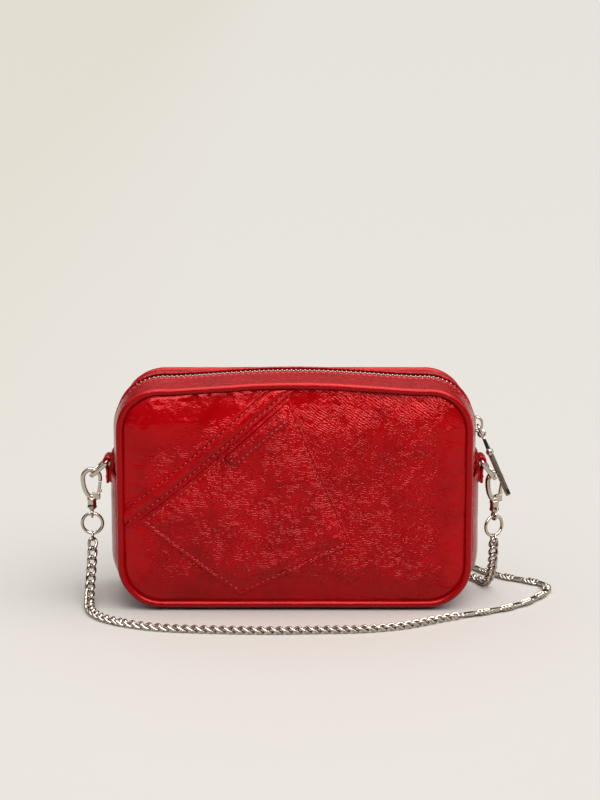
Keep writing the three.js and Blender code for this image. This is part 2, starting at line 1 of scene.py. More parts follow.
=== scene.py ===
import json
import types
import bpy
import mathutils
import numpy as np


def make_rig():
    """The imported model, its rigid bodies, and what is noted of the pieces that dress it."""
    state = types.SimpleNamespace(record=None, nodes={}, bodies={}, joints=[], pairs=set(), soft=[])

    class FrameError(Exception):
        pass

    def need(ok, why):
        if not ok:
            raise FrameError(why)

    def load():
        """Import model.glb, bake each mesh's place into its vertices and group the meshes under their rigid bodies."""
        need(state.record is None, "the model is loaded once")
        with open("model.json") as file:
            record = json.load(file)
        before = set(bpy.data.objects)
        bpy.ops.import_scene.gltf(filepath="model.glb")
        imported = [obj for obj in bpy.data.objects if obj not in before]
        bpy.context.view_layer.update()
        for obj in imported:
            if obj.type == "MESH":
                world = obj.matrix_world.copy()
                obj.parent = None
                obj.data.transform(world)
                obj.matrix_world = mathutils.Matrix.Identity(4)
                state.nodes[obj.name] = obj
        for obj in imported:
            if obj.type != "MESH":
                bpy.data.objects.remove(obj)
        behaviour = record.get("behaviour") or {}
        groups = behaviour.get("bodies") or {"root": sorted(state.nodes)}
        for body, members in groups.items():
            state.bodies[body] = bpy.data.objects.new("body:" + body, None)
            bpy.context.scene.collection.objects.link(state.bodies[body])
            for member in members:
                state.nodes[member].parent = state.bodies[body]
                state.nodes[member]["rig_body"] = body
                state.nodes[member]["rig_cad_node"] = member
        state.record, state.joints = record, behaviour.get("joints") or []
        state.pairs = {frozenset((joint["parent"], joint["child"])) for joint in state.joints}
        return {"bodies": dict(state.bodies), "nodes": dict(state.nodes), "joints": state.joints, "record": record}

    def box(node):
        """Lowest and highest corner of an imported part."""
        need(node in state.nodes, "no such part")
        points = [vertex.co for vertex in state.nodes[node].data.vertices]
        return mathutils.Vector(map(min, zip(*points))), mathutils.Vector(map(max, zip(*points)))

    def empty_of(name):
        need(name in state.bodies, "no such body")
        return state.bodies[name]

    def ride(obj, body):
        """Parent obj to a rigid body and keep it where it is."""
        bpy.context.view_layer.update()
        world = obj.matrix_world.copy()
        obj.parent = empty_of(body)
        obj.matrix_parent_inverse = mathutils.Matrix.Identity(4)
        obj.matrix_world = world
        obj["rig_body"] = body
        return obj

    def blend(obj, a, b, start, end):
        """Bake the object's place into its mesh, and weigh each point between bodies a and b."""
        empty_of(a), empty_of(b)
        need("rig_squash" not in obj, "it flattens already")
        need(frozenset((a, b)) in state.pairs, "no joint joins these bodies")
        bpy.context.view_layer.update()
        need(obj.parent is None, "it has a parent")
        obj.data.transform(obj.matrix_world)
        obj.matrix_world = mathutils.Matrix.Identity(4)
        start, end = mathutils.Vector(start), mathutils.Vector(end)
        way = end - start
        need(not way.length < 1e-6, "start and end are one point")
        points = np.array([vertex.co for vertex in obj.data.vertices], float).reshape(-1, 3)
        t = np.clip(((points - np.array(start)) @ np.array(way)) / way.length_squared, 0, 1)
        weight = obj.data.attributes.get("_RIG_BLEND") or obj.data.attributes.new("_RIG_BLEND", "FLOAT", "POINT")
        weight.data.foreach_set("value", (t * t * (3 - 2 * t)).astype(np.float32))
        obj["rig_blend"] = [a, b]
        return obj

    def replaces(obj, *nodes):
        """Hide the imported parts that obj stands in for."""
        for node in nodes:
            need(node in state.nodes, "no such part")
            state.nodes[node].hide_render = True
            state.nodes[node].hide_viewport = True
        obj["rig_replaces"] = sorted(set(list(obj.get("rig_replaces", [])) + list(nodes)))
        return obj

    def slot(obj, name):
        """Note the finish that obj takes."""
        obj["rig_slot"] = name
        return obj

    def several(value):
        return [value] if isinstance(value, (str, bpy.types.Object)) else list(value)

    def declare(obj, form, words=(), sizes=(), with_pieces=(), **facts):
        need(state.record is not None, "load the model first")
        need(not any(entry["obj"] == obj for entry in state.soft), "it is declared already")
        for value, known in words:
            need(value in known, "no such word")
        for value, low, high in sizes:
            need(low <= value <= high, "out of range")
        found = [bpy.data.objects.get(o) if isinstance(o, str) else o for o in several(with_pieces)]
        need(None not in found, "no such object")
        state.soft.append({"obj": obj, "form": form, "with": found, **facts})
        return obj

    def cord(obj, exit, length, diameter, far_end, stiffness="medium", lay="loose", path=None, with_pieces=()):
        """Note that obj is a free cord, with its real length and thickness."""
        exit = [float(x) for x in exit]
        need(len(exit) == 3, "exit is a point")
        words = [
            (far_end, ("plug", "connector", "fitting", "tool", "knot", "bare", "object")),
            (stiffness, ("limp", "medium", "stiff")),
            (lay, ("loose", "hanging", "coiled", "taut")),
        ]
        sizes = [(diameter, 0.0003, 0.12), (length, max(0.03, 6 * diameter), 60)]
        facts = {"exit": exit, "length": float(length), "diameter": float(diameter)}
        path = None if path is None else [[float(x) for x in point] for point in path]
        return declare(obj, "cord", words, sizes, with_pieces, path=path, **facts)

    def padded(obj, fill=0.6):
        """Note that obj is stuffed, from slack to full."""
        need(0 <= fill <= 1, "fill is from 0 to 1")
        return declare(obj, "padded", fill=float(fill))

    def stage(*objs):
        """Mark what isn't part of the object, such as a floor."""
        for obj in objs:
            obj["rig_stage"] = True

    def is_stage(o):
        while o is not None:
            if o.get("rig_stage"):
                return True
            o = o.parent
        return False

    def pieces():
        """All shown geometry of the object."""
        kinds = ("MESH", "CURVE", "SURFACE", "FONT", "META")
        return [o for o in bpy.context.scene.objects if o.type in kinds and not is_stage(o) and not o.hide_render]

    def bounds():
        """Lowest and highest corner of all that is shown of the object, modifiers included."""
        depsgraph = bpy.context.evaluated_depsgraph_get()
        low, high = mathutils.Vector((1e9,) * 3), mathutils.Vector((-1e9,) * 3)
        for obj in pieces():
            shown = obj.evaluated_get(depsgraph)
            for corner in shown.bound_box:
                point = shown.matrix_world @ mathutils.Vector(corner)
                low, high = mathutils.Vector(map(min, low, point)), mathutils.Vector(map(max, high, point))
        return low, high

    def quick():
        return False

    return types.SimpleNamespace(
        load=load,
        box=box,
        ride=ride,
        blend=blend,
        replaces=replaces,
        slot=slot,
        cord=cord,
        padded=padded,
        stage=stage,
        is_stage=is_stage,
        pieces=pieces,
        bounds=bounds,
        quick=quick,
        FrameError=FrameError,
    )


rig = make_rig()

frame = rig.load()

import json
import math

import bmesh
import bpy
import numpy as np
from mathutils import Matrix, Vector, noise
from mathutils.bvhtree import BVHTree

cad_bounds = [list(corner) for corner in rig.bounds()]

MM = 0.001
QUARTER = math.pi / 2

# ---- Sizes taken from the frame, in millimetres ----


def box_mm(node):
    """The lowest and the highest corner of a CAD piece."""
    low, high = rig.box(node)
    return np.array(low) / MM, np.array(high) / MM


PIPING_LOW, PIPING_HIGH = box_mm("front_piping")
PIPING_RADIUS = 2.0
PIPING_Y = (abs(PIPING_LOW[1]) + abs(PIPING_HIGH[1])) / 2
PIPING_HALF_WIDTH = PIPING_HIGH[0] - PIPING_RADIUS
PIPING_BOTTOM = PIPING_LOW[2] + PIPING_RADIUS
PIPING_TOP = PIPING_HIGH[2] - PIPING_RADIUS
PIPING_CORNER = 21.0
GUSSET_HIGH = box_mm("gusset")[1]
GUSSET_BULGE = 2.5
BAND_CORNER = 25.5
BAND_HALF_WIDTH = GUSSET_HIGH[0] - GUSSET_BULGE
BAND_HALF_DEPTH = GUSSET_HIGH[1]
BAND_BOTTOM = 2.5
SEAM_Z = GUSSET_HIGH[2]
ZIP_TOP = box_mm("zip_strip_front")[1][2] - 1.0
ZIP_END_Z = box_mm("zip_tape_front")[0][2]
STRIP_EDGE_Y = box_mm("zip_strip_back")[0][1]

JOINTS = {joint["name"]: joint for joint in frame["joints"]}


def joint_point(name):
    return Vector(JOINTS[name]["pos_m"]) / MM


# ---- Materials ----


def set_ramp(node, stops):
    """Gives a colour ramp its (position, colour) stops."""
    elements = node.color_ramp.elements
    while len(elements) < len(stops):
        elements.new(0.5)
    for element, (position, colour) in zip(elements, stops):
        element.position = position
        element.color = (*colour, 1)


class Nodes:
    """A short way to write a material's node tree."""

    def __init__(self, name):
        self.material = bpy.data.materials.new(name)
        self.material.use_nodes = True
        self.tree = self.material.node_tree
        self.shader = self.tree.nodes["Principled BSDF"]

    def link(self, value, socket):
        if isinstance(value, bpy.types.NodeSocket):
            self.tree.links.new(value, socket)
        else:
            socket.default_value = value

    def add(self, kind, *values, settings=(), **named):
        """A node with its first inputs in order and others by name, where _ stands for a space."""
        node = self.tree.nodes.new("ShaderNode" + kind)
        for key, value in settings:
            setattr(node, key, value)
        for index, value in enumerate(values):
            self.link(value, node.inputs[index])
        for key, value in named.items():
            self.link(value, node.inputs[key.replace("_", " ")])
        return node

    def math(self, operation, a, b=0.0):
        return self.add("Math", a, b, settings=[("operation", operation)]).outputs[0]

    def plus(self, a, b):
        return self.math("ADD", a, b)

    def minus(self, a, b):
        return self.math("SUBTRACT", a, b)

    def times(self, a, b):
        return self.math("MULTIPLY", a, b)

    def position(self, rotation=(0, 0, 0), scale=(1, 1, 1)):
        """Object coordinates, turned and then stretched."""
        coordinates = self.add("TexCoord").outputs["Object"]
        turned = self.add("Mapping", coordinates, Rotation=rotation).outputs[0]
        return self.add("Mapping", turned, Scale=scale).outputs[0]

    def axes(self, position):
        return self.add("SeparateXYZ", position).outputs[:]

    def noise(self, vector, scale, detail=3.0, roughness=0.55):
        node = self.add("TexNoise", Vector=vector, Scale=scale, Detail=detail, Roughness=roughness)
        return node.outputs[0]

    def ramp(self, value, *stops):
        node = self.add("ValToRGB", value)
        set_ramp(node, stops)
        return node.outputs[0]

    def grey_ramp(self, value, *stops):
        return self.ramp(value, *[(position, (level, level, level)) for position, level in stops])

    def mix(self, factor, a, b):
        node = self.add("Mix", factor, settings=[("data_type", "FLOAT")])
        self.link(a, node.inputs[2])
        self.link(b, node.inputs[3])
        return node.outputs[0]

    def bump(self, height, strength, distance, **normal):
        return self.add("Bump", Height=height, Strength=strength, Distance=distance, **normal).outputs[0]

    def finish(self, **inputs):
        for key, value in inputs.items():
            self.link(value, self.shader.inputs[key.replace("_", " ")])
        return self.material


def creases(n, tilt, turn, spacing, bend):
    """Wavy parallel ridges, like the creases of a patent film, tilted and turned by degrees."""
    wave = n.add(
        "TexWave",
        settings=[("wave_type", "BANDS"), ("bands_direction", "Z"), ("wave_profile", "SIN")],
        Vector=n.position((math.radians(tilt), math.radians(turn), 0)),
        Scale=math.pi / 10 / spacing,
        Distortion=bend,
        Detail=2.0,
        Detail_Scale=0.9,
        Detail_Roughness=0.6,
    )
    return wave.outputs["Fac"]


def ridge_pattern(n, plain, x, z, drift, tilt):
    """Creases that lie level, fan out at the upper right, cross in places and break off in short runs."""
    lying = creases(n, tilt, 0, 0.00125, 11.0)
    fanned = creases(n, tilt, -35, 0.00125, 9.0)
    crossed = creases(n, tilt, 48, 0.0011, 13.0)
    rightward = n.plus(n.times(n.minus(x, 0.012), 6), n.times(drift, 1.5))
    upper_right = n.plus(rightward, n.times(n.minus(z, 0.07), 9))
    ridges = n.mix(n.grey_ramp(upper_right, (0.0, 0), (0.2, 1)), lying, fanned)
    turn = n.noise(n.position((0.4, 0.2, 0.9)), 110, 2.0)
    ridges = n.mix(n.grey_ramp(turn, (0.54, 0), (0.6, 0.8)), ridges, crossed)
    broken = n.grey_ramp(n.noise(plain, 330, 2.0), (0.36, 0.25), (0.52, 1))
    return n.times(ridges, broken)


def calm_edges(n, x, z, drift):
    """Where a panel is smooth: at its sides, its foot and its top left corner."""
    sides = n.grey_ramp(n.math("ABSOLUTE", x), (0.07, 1), (0.083, 0.15))
    foot = n.grey_ramp(n.plus(z, n.times(drift, 0.02)), (0.012, 0.08), (0.02, 1))
    towards_corner = n.plus(n.plus(n.times(x, -0.3), z), n.times(drift, 0.04))
    corner = n.grey_ramp(towards_corner, (0.106, 1), (0.116, 0.12))
    return n.times(sides, n.times(foot, corner))


def patent_leather(name, crinkle, colour, deep, rough, tilt=0, panel=False):
    """Glossy patent leather whose film is creased into short wavy ridges, with painted shade along them; crinkle is
    their strength.
    """
    n = Nodes("patent_leather_" + name)
    plain = n.position()
    x, _, z = n.axes(plain)
    drift = n.minus(n.noise(plain, 30, 2.0), 0.5)
    ridges = ridge_pattern(n, plain, x, z, drift, tilt)
    patches = n.grey_ramp(n.noise(plain, 42, 3.0), (0.32, 0.3), (0.46, 1))
    if panel:
        patches = n.times(patches, calm_edges(n, x, z, drift))
    pebbles = n.noise(plain, 800, 2.0, 0.6)
    height = n.plus(n.times(ridges, patches), n.times(pebbles, 0.25))
    swells = n.bump(n.noise(plain, 130, 2.0), 0.22, 0.0009)
    normal = n.bump(height, crinkle, 0.00024, Normal=swells)
    # Random tone, made darker where the creases and pebbles rise: painted shade along the creases.
    tone_and_crease_shade = n.minus(n.noise(plain, 55, 4.0), n.times(height, 0.16))
    return n.finish(
        Base_Color=n.ramp(tone_and_crease_shade, (0.14, deep), (0.52, colour)),
        Roughness=rough,
        Normal=normal,
        Specular_IOR_Level=0.9,
        Specular_Tint=(1.0, 0.09, 0.09, 1),
        Coat_Weight=0.08,
        Coat_Roughness=0.05,
        Coat_Normal=normal,
    )


def thread_material():
    n = Nodes("red_thread")
    strands = n.noise(n.position(), 5200, 2.0)
    base = n.ramp(strands, (0.3, (0.3, 0.008, 0.01)), (0.7, (0.5, 0.03, 0.035)))
    return n.finish(Base_Color=base, Roughness=0.3, Normal=n.bump(strands, 0.5, 0.0001))


def polished_metal(name, colour, sharpest, dullest):
    n = Nodes(name)
    scuffs = n.noise(n.position(), 420, 4.0, 0.6)
    hairs = n.noise(n.position(scale=(1, 14, 1)), 900, 2.0)
    rough = n.grey_ramp(scuffs, (0.35, sharpest), (0.75, dullest))
    base = n.ramp(scuffs, (0.3, tuple(0.88 * c for c in colour)), (0.6, colour))
    return n.finish(Base_Color=base, Metallic=1.0, Roughness=rough, Normal=n.bump(hairs, 0.08, 0.00005))


def woven(name, dark, light, pitch):
    """Plain cloth: two crossed sets of threads, with painted shade in the hollows of the weave."""
    n = Nodes(name)
    position = n.position()
    waves = [n.math("SINE", n.times(axis, 2 * math.pi / pitch)) for axis in n.axes(position)]
    weave = n.plus(n.times(n.times(waves[0], waves[2]), 0.5), n.times(waves[1], 0.25))
    # The colour follows this height: darker where the weave dips, painted shade in its hollows, with random fibre tone
    # from the noise.
    height = n.plus(weave, n.noise(position, 2600, 3.0))
    return n.finish(
        Base_Color=n.ramp(height, (0.1, dark), (0.9, light)),
        Roughness=0.85,
        Normal=n.bump(height, 0.5, 0.0002),
        Sheen_Weight=0.25,
        Sheen_Roughness=0.5,
    )


def board_material():
    n = Nodes("stiffener_board")
    fibres = n.noise(n.position(scale=(1, 6, 1)), 700, 4.0)
    base = n.ramp(fibres, (0.3, (0.1, 0.08, 0.06)), (0.7, (0.2, 0.16, 0.12)))
    return n.finish(Base_Color=base, Roughness=0.9, Normal=n.bump(fibres, 0.4, 0.0002))


def floor_material():
    """Pale seamless paper, with painted shade: a little warmer and darker towards the left."""
    n = Nodes("studio_floor")
    plain = n.position()
    # The paper grows darker and warmer towards the left, painted shade, made uneven by the broad cloud.
    cloud = n.times(n.noise(plain, 1.4, 2.0), 0.1)
    across = n.plus(n.times(n.axes(plain)[0], 1.6), cloud)
    base = n.ramp(n.plus(across, 0.72), (0.1, (0.785, 0.75, 0.68)), (0.6, (0.81, 0.79, 0.76)))
    return n.finish(Base_Color=base, Roughness=0.7)


RED, DEEP_RED = (0.25, 0.0006, 0.002), (0.155, 0.0003, 0.001)
CREASED = patent_leather("creased", 1.0, RED, DEEP_RED, 0.13, panel=True)
SOFT = patent_leather("soft", 0.45, RED, DEEP_RED, 0.13)
# SMOOTH and GRAINED are darker copies of the same red leather: painted shade that tones down the overhead light on the
# piping and the zip strips; the gusset, zip ends and stitched patch take the darker grained copy too.
SMOOTH = patent_leather("smooth", 0.12, (0.2, 0.0006, 0.0018), (0.17, 0.0004, 0.0012), 0.2)
GRAINED = patent_leather("grained", 0.8, (0.21, 0.0006, 0.002), (0.15, 0.0003, 0.001), 0.24, 40)
THREAD = thread_material()
METAL = polished_metal("polished_metal", (0.53, 0.47, 0.4), 0.06, 0.14)
CHAIN_METAL = polished_metal("chain_metal", (0.46, 0.405, 0.345), 0.05, 0.13)
TAPE = woven("zip_tape_cloth", (0.03, 0.003, 0.004), (0.14, 0.008, 0.012), 0.0005)
LINING = woven("lining_cloth", (0.09, 0.012, 0.014), (0.2, 0.035, 0.04), 0.0007)
BOARD = board_material()
SLOTS = {METAL: "polished_metal", CHAIN_METAL: "chain_metal", TAPE: "zip_tape"}
LEATHER_SLOT = "patent_leather"

# ---- Shapes: a part is its vertices, in millimetres, and its faces ----


def add_object(name, data):
    thing = bpy.data.objects.new(name, data)
    bpy.context.scene.collection.objects.link(thing)
    return thing


def make_piece(name, part, material, body, *nodes):
    """A visual piece that rides on a body and replaces the named CAD nodes."""
    vertices, faces = part
    mesh = bpy.data.meshes.new(name)
    mesh.from_pydata([tuple(float(c) * MM for c in v) for v in vertices], [], faces)
    mesh.validate()
    mesh.materials.append(material)
    for polygon in mesh.polygons:
        polygon.use_smooth = True
    piece = add_object(name, mesh)
    fix_normals(mesh)
    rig.slot(piece, SLOTS.get(material, LEATHER_SLOT))
    if nodes:
        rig.replaces(piece, *nodes)
    if body:
        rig.ride(piece, body)
    return piece


def fix_normals(mesh):
    work = bmesh.new()
    work.from_mesh(mesh)
    bmesh.ops.recalc_face_normals(work, faces=work.faces)
    work.to_mesh(mesh)
    work.free()


def merge(parts):
    vertices, faces = [], []
    for part_vertices, part_faces in parts:
        start = len(vertices)
        vertices.extend(part_vertices)
        faces.extend([tuple(i + start for i in face) for face in part_faces])
    return vertices, faces


def moved(part, matrix):
    vertices, faces = part
    return [matrix @ Vector(v) for v in vertices], faces


def axes_at(point, *directions):
    """The matrix that carries x, y and z to three directions at a point."""
    return Matrix.Translation(point) @ Matrix(directions).transposed().to_4x4()


def circle_angles(count):
    return np.linspace(0, 2 * math.pi, count, False)


def ring_faces(rows, sides, closed=False):
    """Faces between rows of points that each run round a section."""
    faces = []
    for i in range(rows if closed else rows - 1):
        j = (i + 1) % rows
        for k in range(sides):
            m = (k + 1) % sides
            faces.append((i * sides + k, i * sides + m, j * sides + m, j * sides + k))
    if not closed:
        faces.append(tuple(range(sides))[::-1])
        faces.append(tuple((rows - 1) * sides + k for k in range(sides)))
    return faces


def sweep(points, firsts, section, closed=False):
    """A section of (a, b) pairs swept along points; a runs along firsts (one or a list), and b across it."""
    points = [Vector(p) for p in points]
    count = len(points)
    if not isinstance(firsts, list):
        firsts = [firsts] * count
    vertices = []
    for i, point in enumerate(points):
        before = points[i - 1] if closed or i else point
        after = points[(i + 1) % count] if closed or i + 1 < count else point
        tangent = (after - before).normalized()
        first = Vector(firsts[i])
        first = (first - tangent * first.dot(tangent)).normalized()
        second = tangent.cross(first)
        row = section(i / max(count - 1, 1)) if callable(section) else section
        vertices.extend([point + first * a + second * b for a, b in row])
    return vertices, ring_faces(count, len(vertices) // count, closed)


def round_section(radius, sides=16):
    return [(radius * math.cos(a), radius * math.sin(a)) for a in circle_angles(sides)]


def block_section(half_a, half_b, corner, steps=3):
    """A rectangle with round corners."""
    section = []
    for quarter in range(4):
        centre_a = (half_a - corner) * (1 if quarter in (0, 3) else -1)
        centre_b = (half_b - corner) * (1 if quarter in (0, 1) else -1)
        for k in range(steps + 1):
            angle = QUARTER * (quarter + k / steps)
            section.append((centre_a + corner * math.cos(angle), centre_b + corner * math.sin(angle)))
    return section


def lathe(profile, sides=24):
    """A (radius, z) profile turned about Z and closed flat at both ends."""
    vertices = []
    for radius, z in profile:
        vertices.extend([(a, b, z) for a, b in round_section(radius, sides)])
    return vertices, ring_faces(len(profile), sides)


def ring(radius, wire, sides=12, count=48):
    """A torus in the X-Z plane."""
    points = [(radius * math.cos(t), 0, radius * math.sin(t)) for t in circle_angles(count)]
    return sweep(points, (0, 1, 0), round_section(wire, sides), True)


def bevelled_block(low, high, bevel=0.3, segments=2):
    work = bmesh.new()
    bmesh.ops.create_cube(work, size=1)
    size = [h - l for l, h in zip(low, high)]
    middle = [(h + l) / 2 for l, h in zip(low, high)]
    for vertex in work.verts:
        vertex.co = Vector([vertex.co[i] * size[i] + middle[i] for i in range(3)])
    settings = {"profile": 0.5, "affect": "EDGES", "clamp_overlap": True}
    bmesh.ops.bevel(work, geom=work.edges[:], offset=bevel, segments=segments, **settings)
    part = [v.co.copy() for v in work.verts], [tuple(v.index for v in f.verts) for f in work.faces]
    work.free()
    return part


def grid_points(columns, rows, place):
    """Points row by row; place takes two coordinates that run from 0 to 1."""
    return [place(i / columns, j / rows) for j in range(rows + 1) for i in range(columns + 1)]


def grid_faces(columns, rows):
    """The faces of such a grid, and the points round its rim."""
    stride = columns + 1
    faces = []
    for j in range(rows):
        for i in range(columns):
            a = j * stride + i
            faces.append((a, a + 1, a + stride + 1, a + stride))
    rim = (
        list(range(columns))
        + [j * stride + columns for j in range(rows)]
        + [rows * stride + i for i in range(columns, 0, -1)]
        + [j * stride for j in range(rows, 0, -1)]
    )
    return faces, rim


def backed_grid(columns, rows, place, behind):
    """A grid with a skirt from its rim to the points that behind gives, closed by one face."""
    vertices = grid_points(columns, rows, place)
    faces, rim = grid_faces(columns, rows)
    start, count = len(vertices), len(rim)
    faces += [(rim[k], rim[(k + 1) % count], start + (k + 1) % count, start + k) for k in range(count)]
    faces.append(tuple(range(start, start + count)))
    return vertices + [behind(*vertices[k]) for k in rim], faces


def smooth_step(value, low, high):
    t = np.clip((value - low) / (high - low), 0, 1)
    return float(t * t * (3 - 2 * t))


def wobble(x, y, z, size, seed):
    """Smooth noise between about -1 and 1 with features of that size."""
    return noise.noise(Vector((x / size + seed * 17.3, y / size - seed * 5.1, z / size + seed * 3.7)))


# ---- Lines and outlines ----


def distances_along(points):
    steps = [(Vector(b) - Vector(a)).length for a, b in zip(points, points[1:])]
    return np.concatenate([[0], np.cumsum(steps)])


def locate(distances, target):
    """The point that ends the span in which a distance falls, and how far along the span it is."""
    i = int(np.clip(np.searchsorted(distances, target), 1, len(distances) - 1))
    return i, (target - distances[i - 1]) / (distances[i] - distances[i - 1])


def outline_run(pieces, step):
    """Points and outward directions along lines and arcs, about a step apart."""
    points, outwards = [], []
    for kind, *facts in pieces:
        if kind == "line":
            (x0, z0), (x1, z1), out = facts
            count = max(2, round(math.hypot(x1 - x0, z1 - z0) / step))
            for t in np.linspace(0, 1, count, False):
                points.append((x0 + (x1 - x0) * t, z0 + (z1 - z0) * t))
                outwards.append(out)
        else:
            (cx, cz), radius, start, end = facts
            count = max(3, round(abs(end - start) * radius / step))
            for angle in np.linspace(start, end, count, False):
                points.append((cx + radius * math.cos(angle), cz + radius * math.sin(angle)))
                outwards.append((math.cos(angle), math.sin(angle)))
    return points, outwards


def rounded_loop(half, bottom, top, radius, step):
    right, low, high = half - radius, bottom + radius, top - radius
    return outline_run(
        [
            ("line", (-right, bottom), (right, bottom), (0, -1)),
            ("arc", (right, low), radius, -QUARTER, 0),
            ("line", (half, low), (half, high), (1, 0)),
            ("arc", (right, high), radius, 0, QUARTER),
            ("line", (right, top), (-right, top), (0, 1)),
            ("arc", (-right, high), radius, QUARTER, 2 * QUARTER),
            ("line", (-half, high), (-half, low), (-1, 0)),
            ("arc", (-right, low), radius, 2 * QUARTER, 3 * QUARTER),
        ],
        step,
    )


def band_run(end_z, turn_z, step):
    """Up or down the left side, along, and back by the right side."""
    way = 1 if turn_z > end_z else -1
    arc_z = turn_z - way * BAND_CORNER
    arc_x = BAND_HALF_WIDTH - BAND_CORNER
    points, outwards = outline_run(
        [
            ("line", (-BAND_HALF_WIDTH, end_z), (-BAND_HALF_WIDTH, arc_z), (-1, 0)),
            ("arc", (-arc_x, arc_z), BAND_CORNER, math.pi, math.pi - way * QUARTER),
            ("line", (-arc_x, turn_z), (arc_x, turn_z), (0, way)),
            ("arc", (arc_x, arc_z), BAND_CORNER, way * QUARTER, 0),
            ("line", (BAND_HALF_WIDTH, arc_z), (BAND_HALF_WIDTH, end_z), (1, 0)),
        ],
        step,
    )
    return points + [(BAND_HALF_WIDTH, end_z)], outwards + [(1, 0)]


# ---- Camera, light and floor ----

CAMERA_DISTANCE = 1.15
CAMERA_ELEVATION = math.radians(12)
CAMERA_LENS = 101.3
CAMERA_AIM = Vector((0.0028, -0.028, 0.1118))
LIGHT_AIM = Vector((0, 0, 0.06))
FLOOR_HALF = 15


def make_camera():
    data = bpy.data.cameras.new("camera")
    data.lens = CAMERA_LENS
    camera = add_object("camera", data)
    back = Vector((0, -math.cos(CAMERA_ELEVATION), math.sin(CAMERA_ELEVATION)))
    camera.location = CAMERA_AIM + back * CAMERA_DISTANCE
    camera.rotation_euler = (QUARTER - CAMERA_ELEVATION, 0, 0)
    bpy.context.scene.camera = camera


def make_softbox(name, place, size, power, floor):
    """A large soft lamp seen in the gloss; it leaves the floor out, so that the backdrop stays even."""
    data = bpy.data.lights.new(name, "AREA")
    data.shape = "RECTANGLE"
    data.size, data.size_y = size
    data.energy = power
    light = add_object(name, data)
    light.location = place
    light.rotation_euler = (LIGHT_AIM - Vector(place)).to_track_quat("-Z", "Y").to_euler()
    receivers = bpy.data.collections.new(name + "_receivers")
    receivers.objects.link(floor)
    light.light_linking.receiver_collection = receivers
    receivers.collection_objects[0].light_linking.link_state = "EXCLUDE"


def make_sky():
    """A very wide sun that lifts the colours without showing in the gloss."""
    data = bpy.data.lights.new("sky", "SUN")
    data.energy = 1.5
    data.angle = math.radians(70)
    data.color = (1, 0.99, 0.965)
    data.specular_factor = 0.0
    sky = add_object("sky", data)
    sky.rotation_euler = Vector((0.45, -0.3, 1)).to_track_quat("Z", "Y").to_euler()


def make_world():
    """Bright overhead and dim at eye level, so that gloss and metal have something dark to reflect."""
    world = bpy.data.worlds.new("studio")
    world.use_nodes = True
    tree = world.node_tree
    coordinates = tree.nodes.new("ShaderNodeTexCoord")
    split = tree.nodes.new("ShaderNodeSeparateXYZ")
    ramp = tree.nodes.new("ShaderNodeValToRGB")
    tree.links.new(coordinates.outputs["Generated"], split.inputs[0])
    tree.links.new(split.outputs[2], ramp.inputs[0])
    tree.links.new(ramp.outputs[0], tree.nodes["Background"].inputs["Color"])
    levels = ((0.0, 0.03), (0.3, 0.05), (0.55, 0.5), (1.0, 1.05))
    set_ramp(ramp, [(position, (level, level * 0.985, level * 0.95)) for position, level in levels])
    bpy.context.scene.world = world
    bpy.context.scene.view_settings.view_transform = "Standard"


def make_studio():
    corners = [(x * FLOOR_HALF, y * FLOOR_HALF, 0) for x, y in ((-1, -1), (1, -1), (1, 1), (-1, 1))]
    mesh = bpy.data.meshes.new("floor")
    mesh.from_pydata(corners, [], [(0, 1, 2, 3)])
    mesh.materials.append(floor_material())
    floor = add_object("floor", mesh)
    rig.stage(floor)
    make_world()
    make_softbox("overhead", (0.0, -0.3, 1.25), (1.5, 0.9), 21, floor)
    make_softbox("front_softbox", (0.2, -1.35, 1.15), (1.5, 0.6), 19, floor)
    make_softbox("right_softbox", (1.5, -0.1, 0.5), (0.5, 1.1), 4, floor)
    make_sky()


make_camera()
make_studio()

# ---- Chain strap ----

REST_Z = 1.65
LINK_PITCH = 4.8
LINK_HALF_WIDTH = 1.95
LINK_WIRE = 0.86
CHAIN_WIDTH = 2 * (LINK_HALF_WIDTH + LINK_WIRE)
BAR_PITCH = 15.0
BAR_HALF_LENGTH = 5.6
BAR_EYE = 1.75
BARS_START = Vector((84, -43, REST_Z))
COIL_LOW, COIL_HIGH = box_mm("chain_coil")
COIL_CENTRE = (COIL_LOW + COIL_HIGH) / 2
COIL_TURNS = 2.5
COIL_OUTER = (COIL_HIGH[0] - COIL_LOW[0]) / 2 - CHAIN_WIDTH / 2
COIL_INNER = COIL_OUTER - CHAIN_WIDTH
COIL_LIFT = 3.4
DROP_PART = 36.5


def o_ring_bottom(word):
    low, high = box_mm("o_ring_" + word)
    return Vector(((low[0] + high[0]) / 2, 0, low[2]))


FIRST_LINK_DROP = Vector((0, 0, -2.6))
LEFT_TOP = o_ring_bottom("left")
RIGHT_TOP = o_ring_bottom("right")
LEFT_ROUTE = [
    LEFT_TOP + FIRST_LINK_DROP, (-107.3, -3, 22), (-107.6, -10, 12), (-107.5, -19, 5),
    (-106.8, -28.5, REST_Z + 0.2),
]
FRONT_ROUTE = [
    (-104, -38), (-98, -47), (-88, -54.7), (-76, -60.5), (-62, -64.3), (-38, -66.8), (-12.5, -68), (12, -67),
    (34, -65.5), (53, -60.5), (66, -53.5), (79, -45.5), (96, -37.5), (110, -29.5), (121, -20), (129, -9),
    (134.5, 2), (134, 12), (127.5, 19), (118, 25), (108, 34), (99, 46), (92, 60), (88, 76), (83, 92),
    (74, 106), (60, 115),
]
BACK_ROUTE = [(66, 47), (80, 42), (91, 33.5), (98, 25), (101.6, 18.2)]
RIGHT_ROUTE = [
    (103.3, 13.4, 3.2), (104.8, 9, 8), (105.4, 4.5, 15), (105.5, 1.2, 23), RIGHT_TOP + FIRST_LINK_DROP,
]


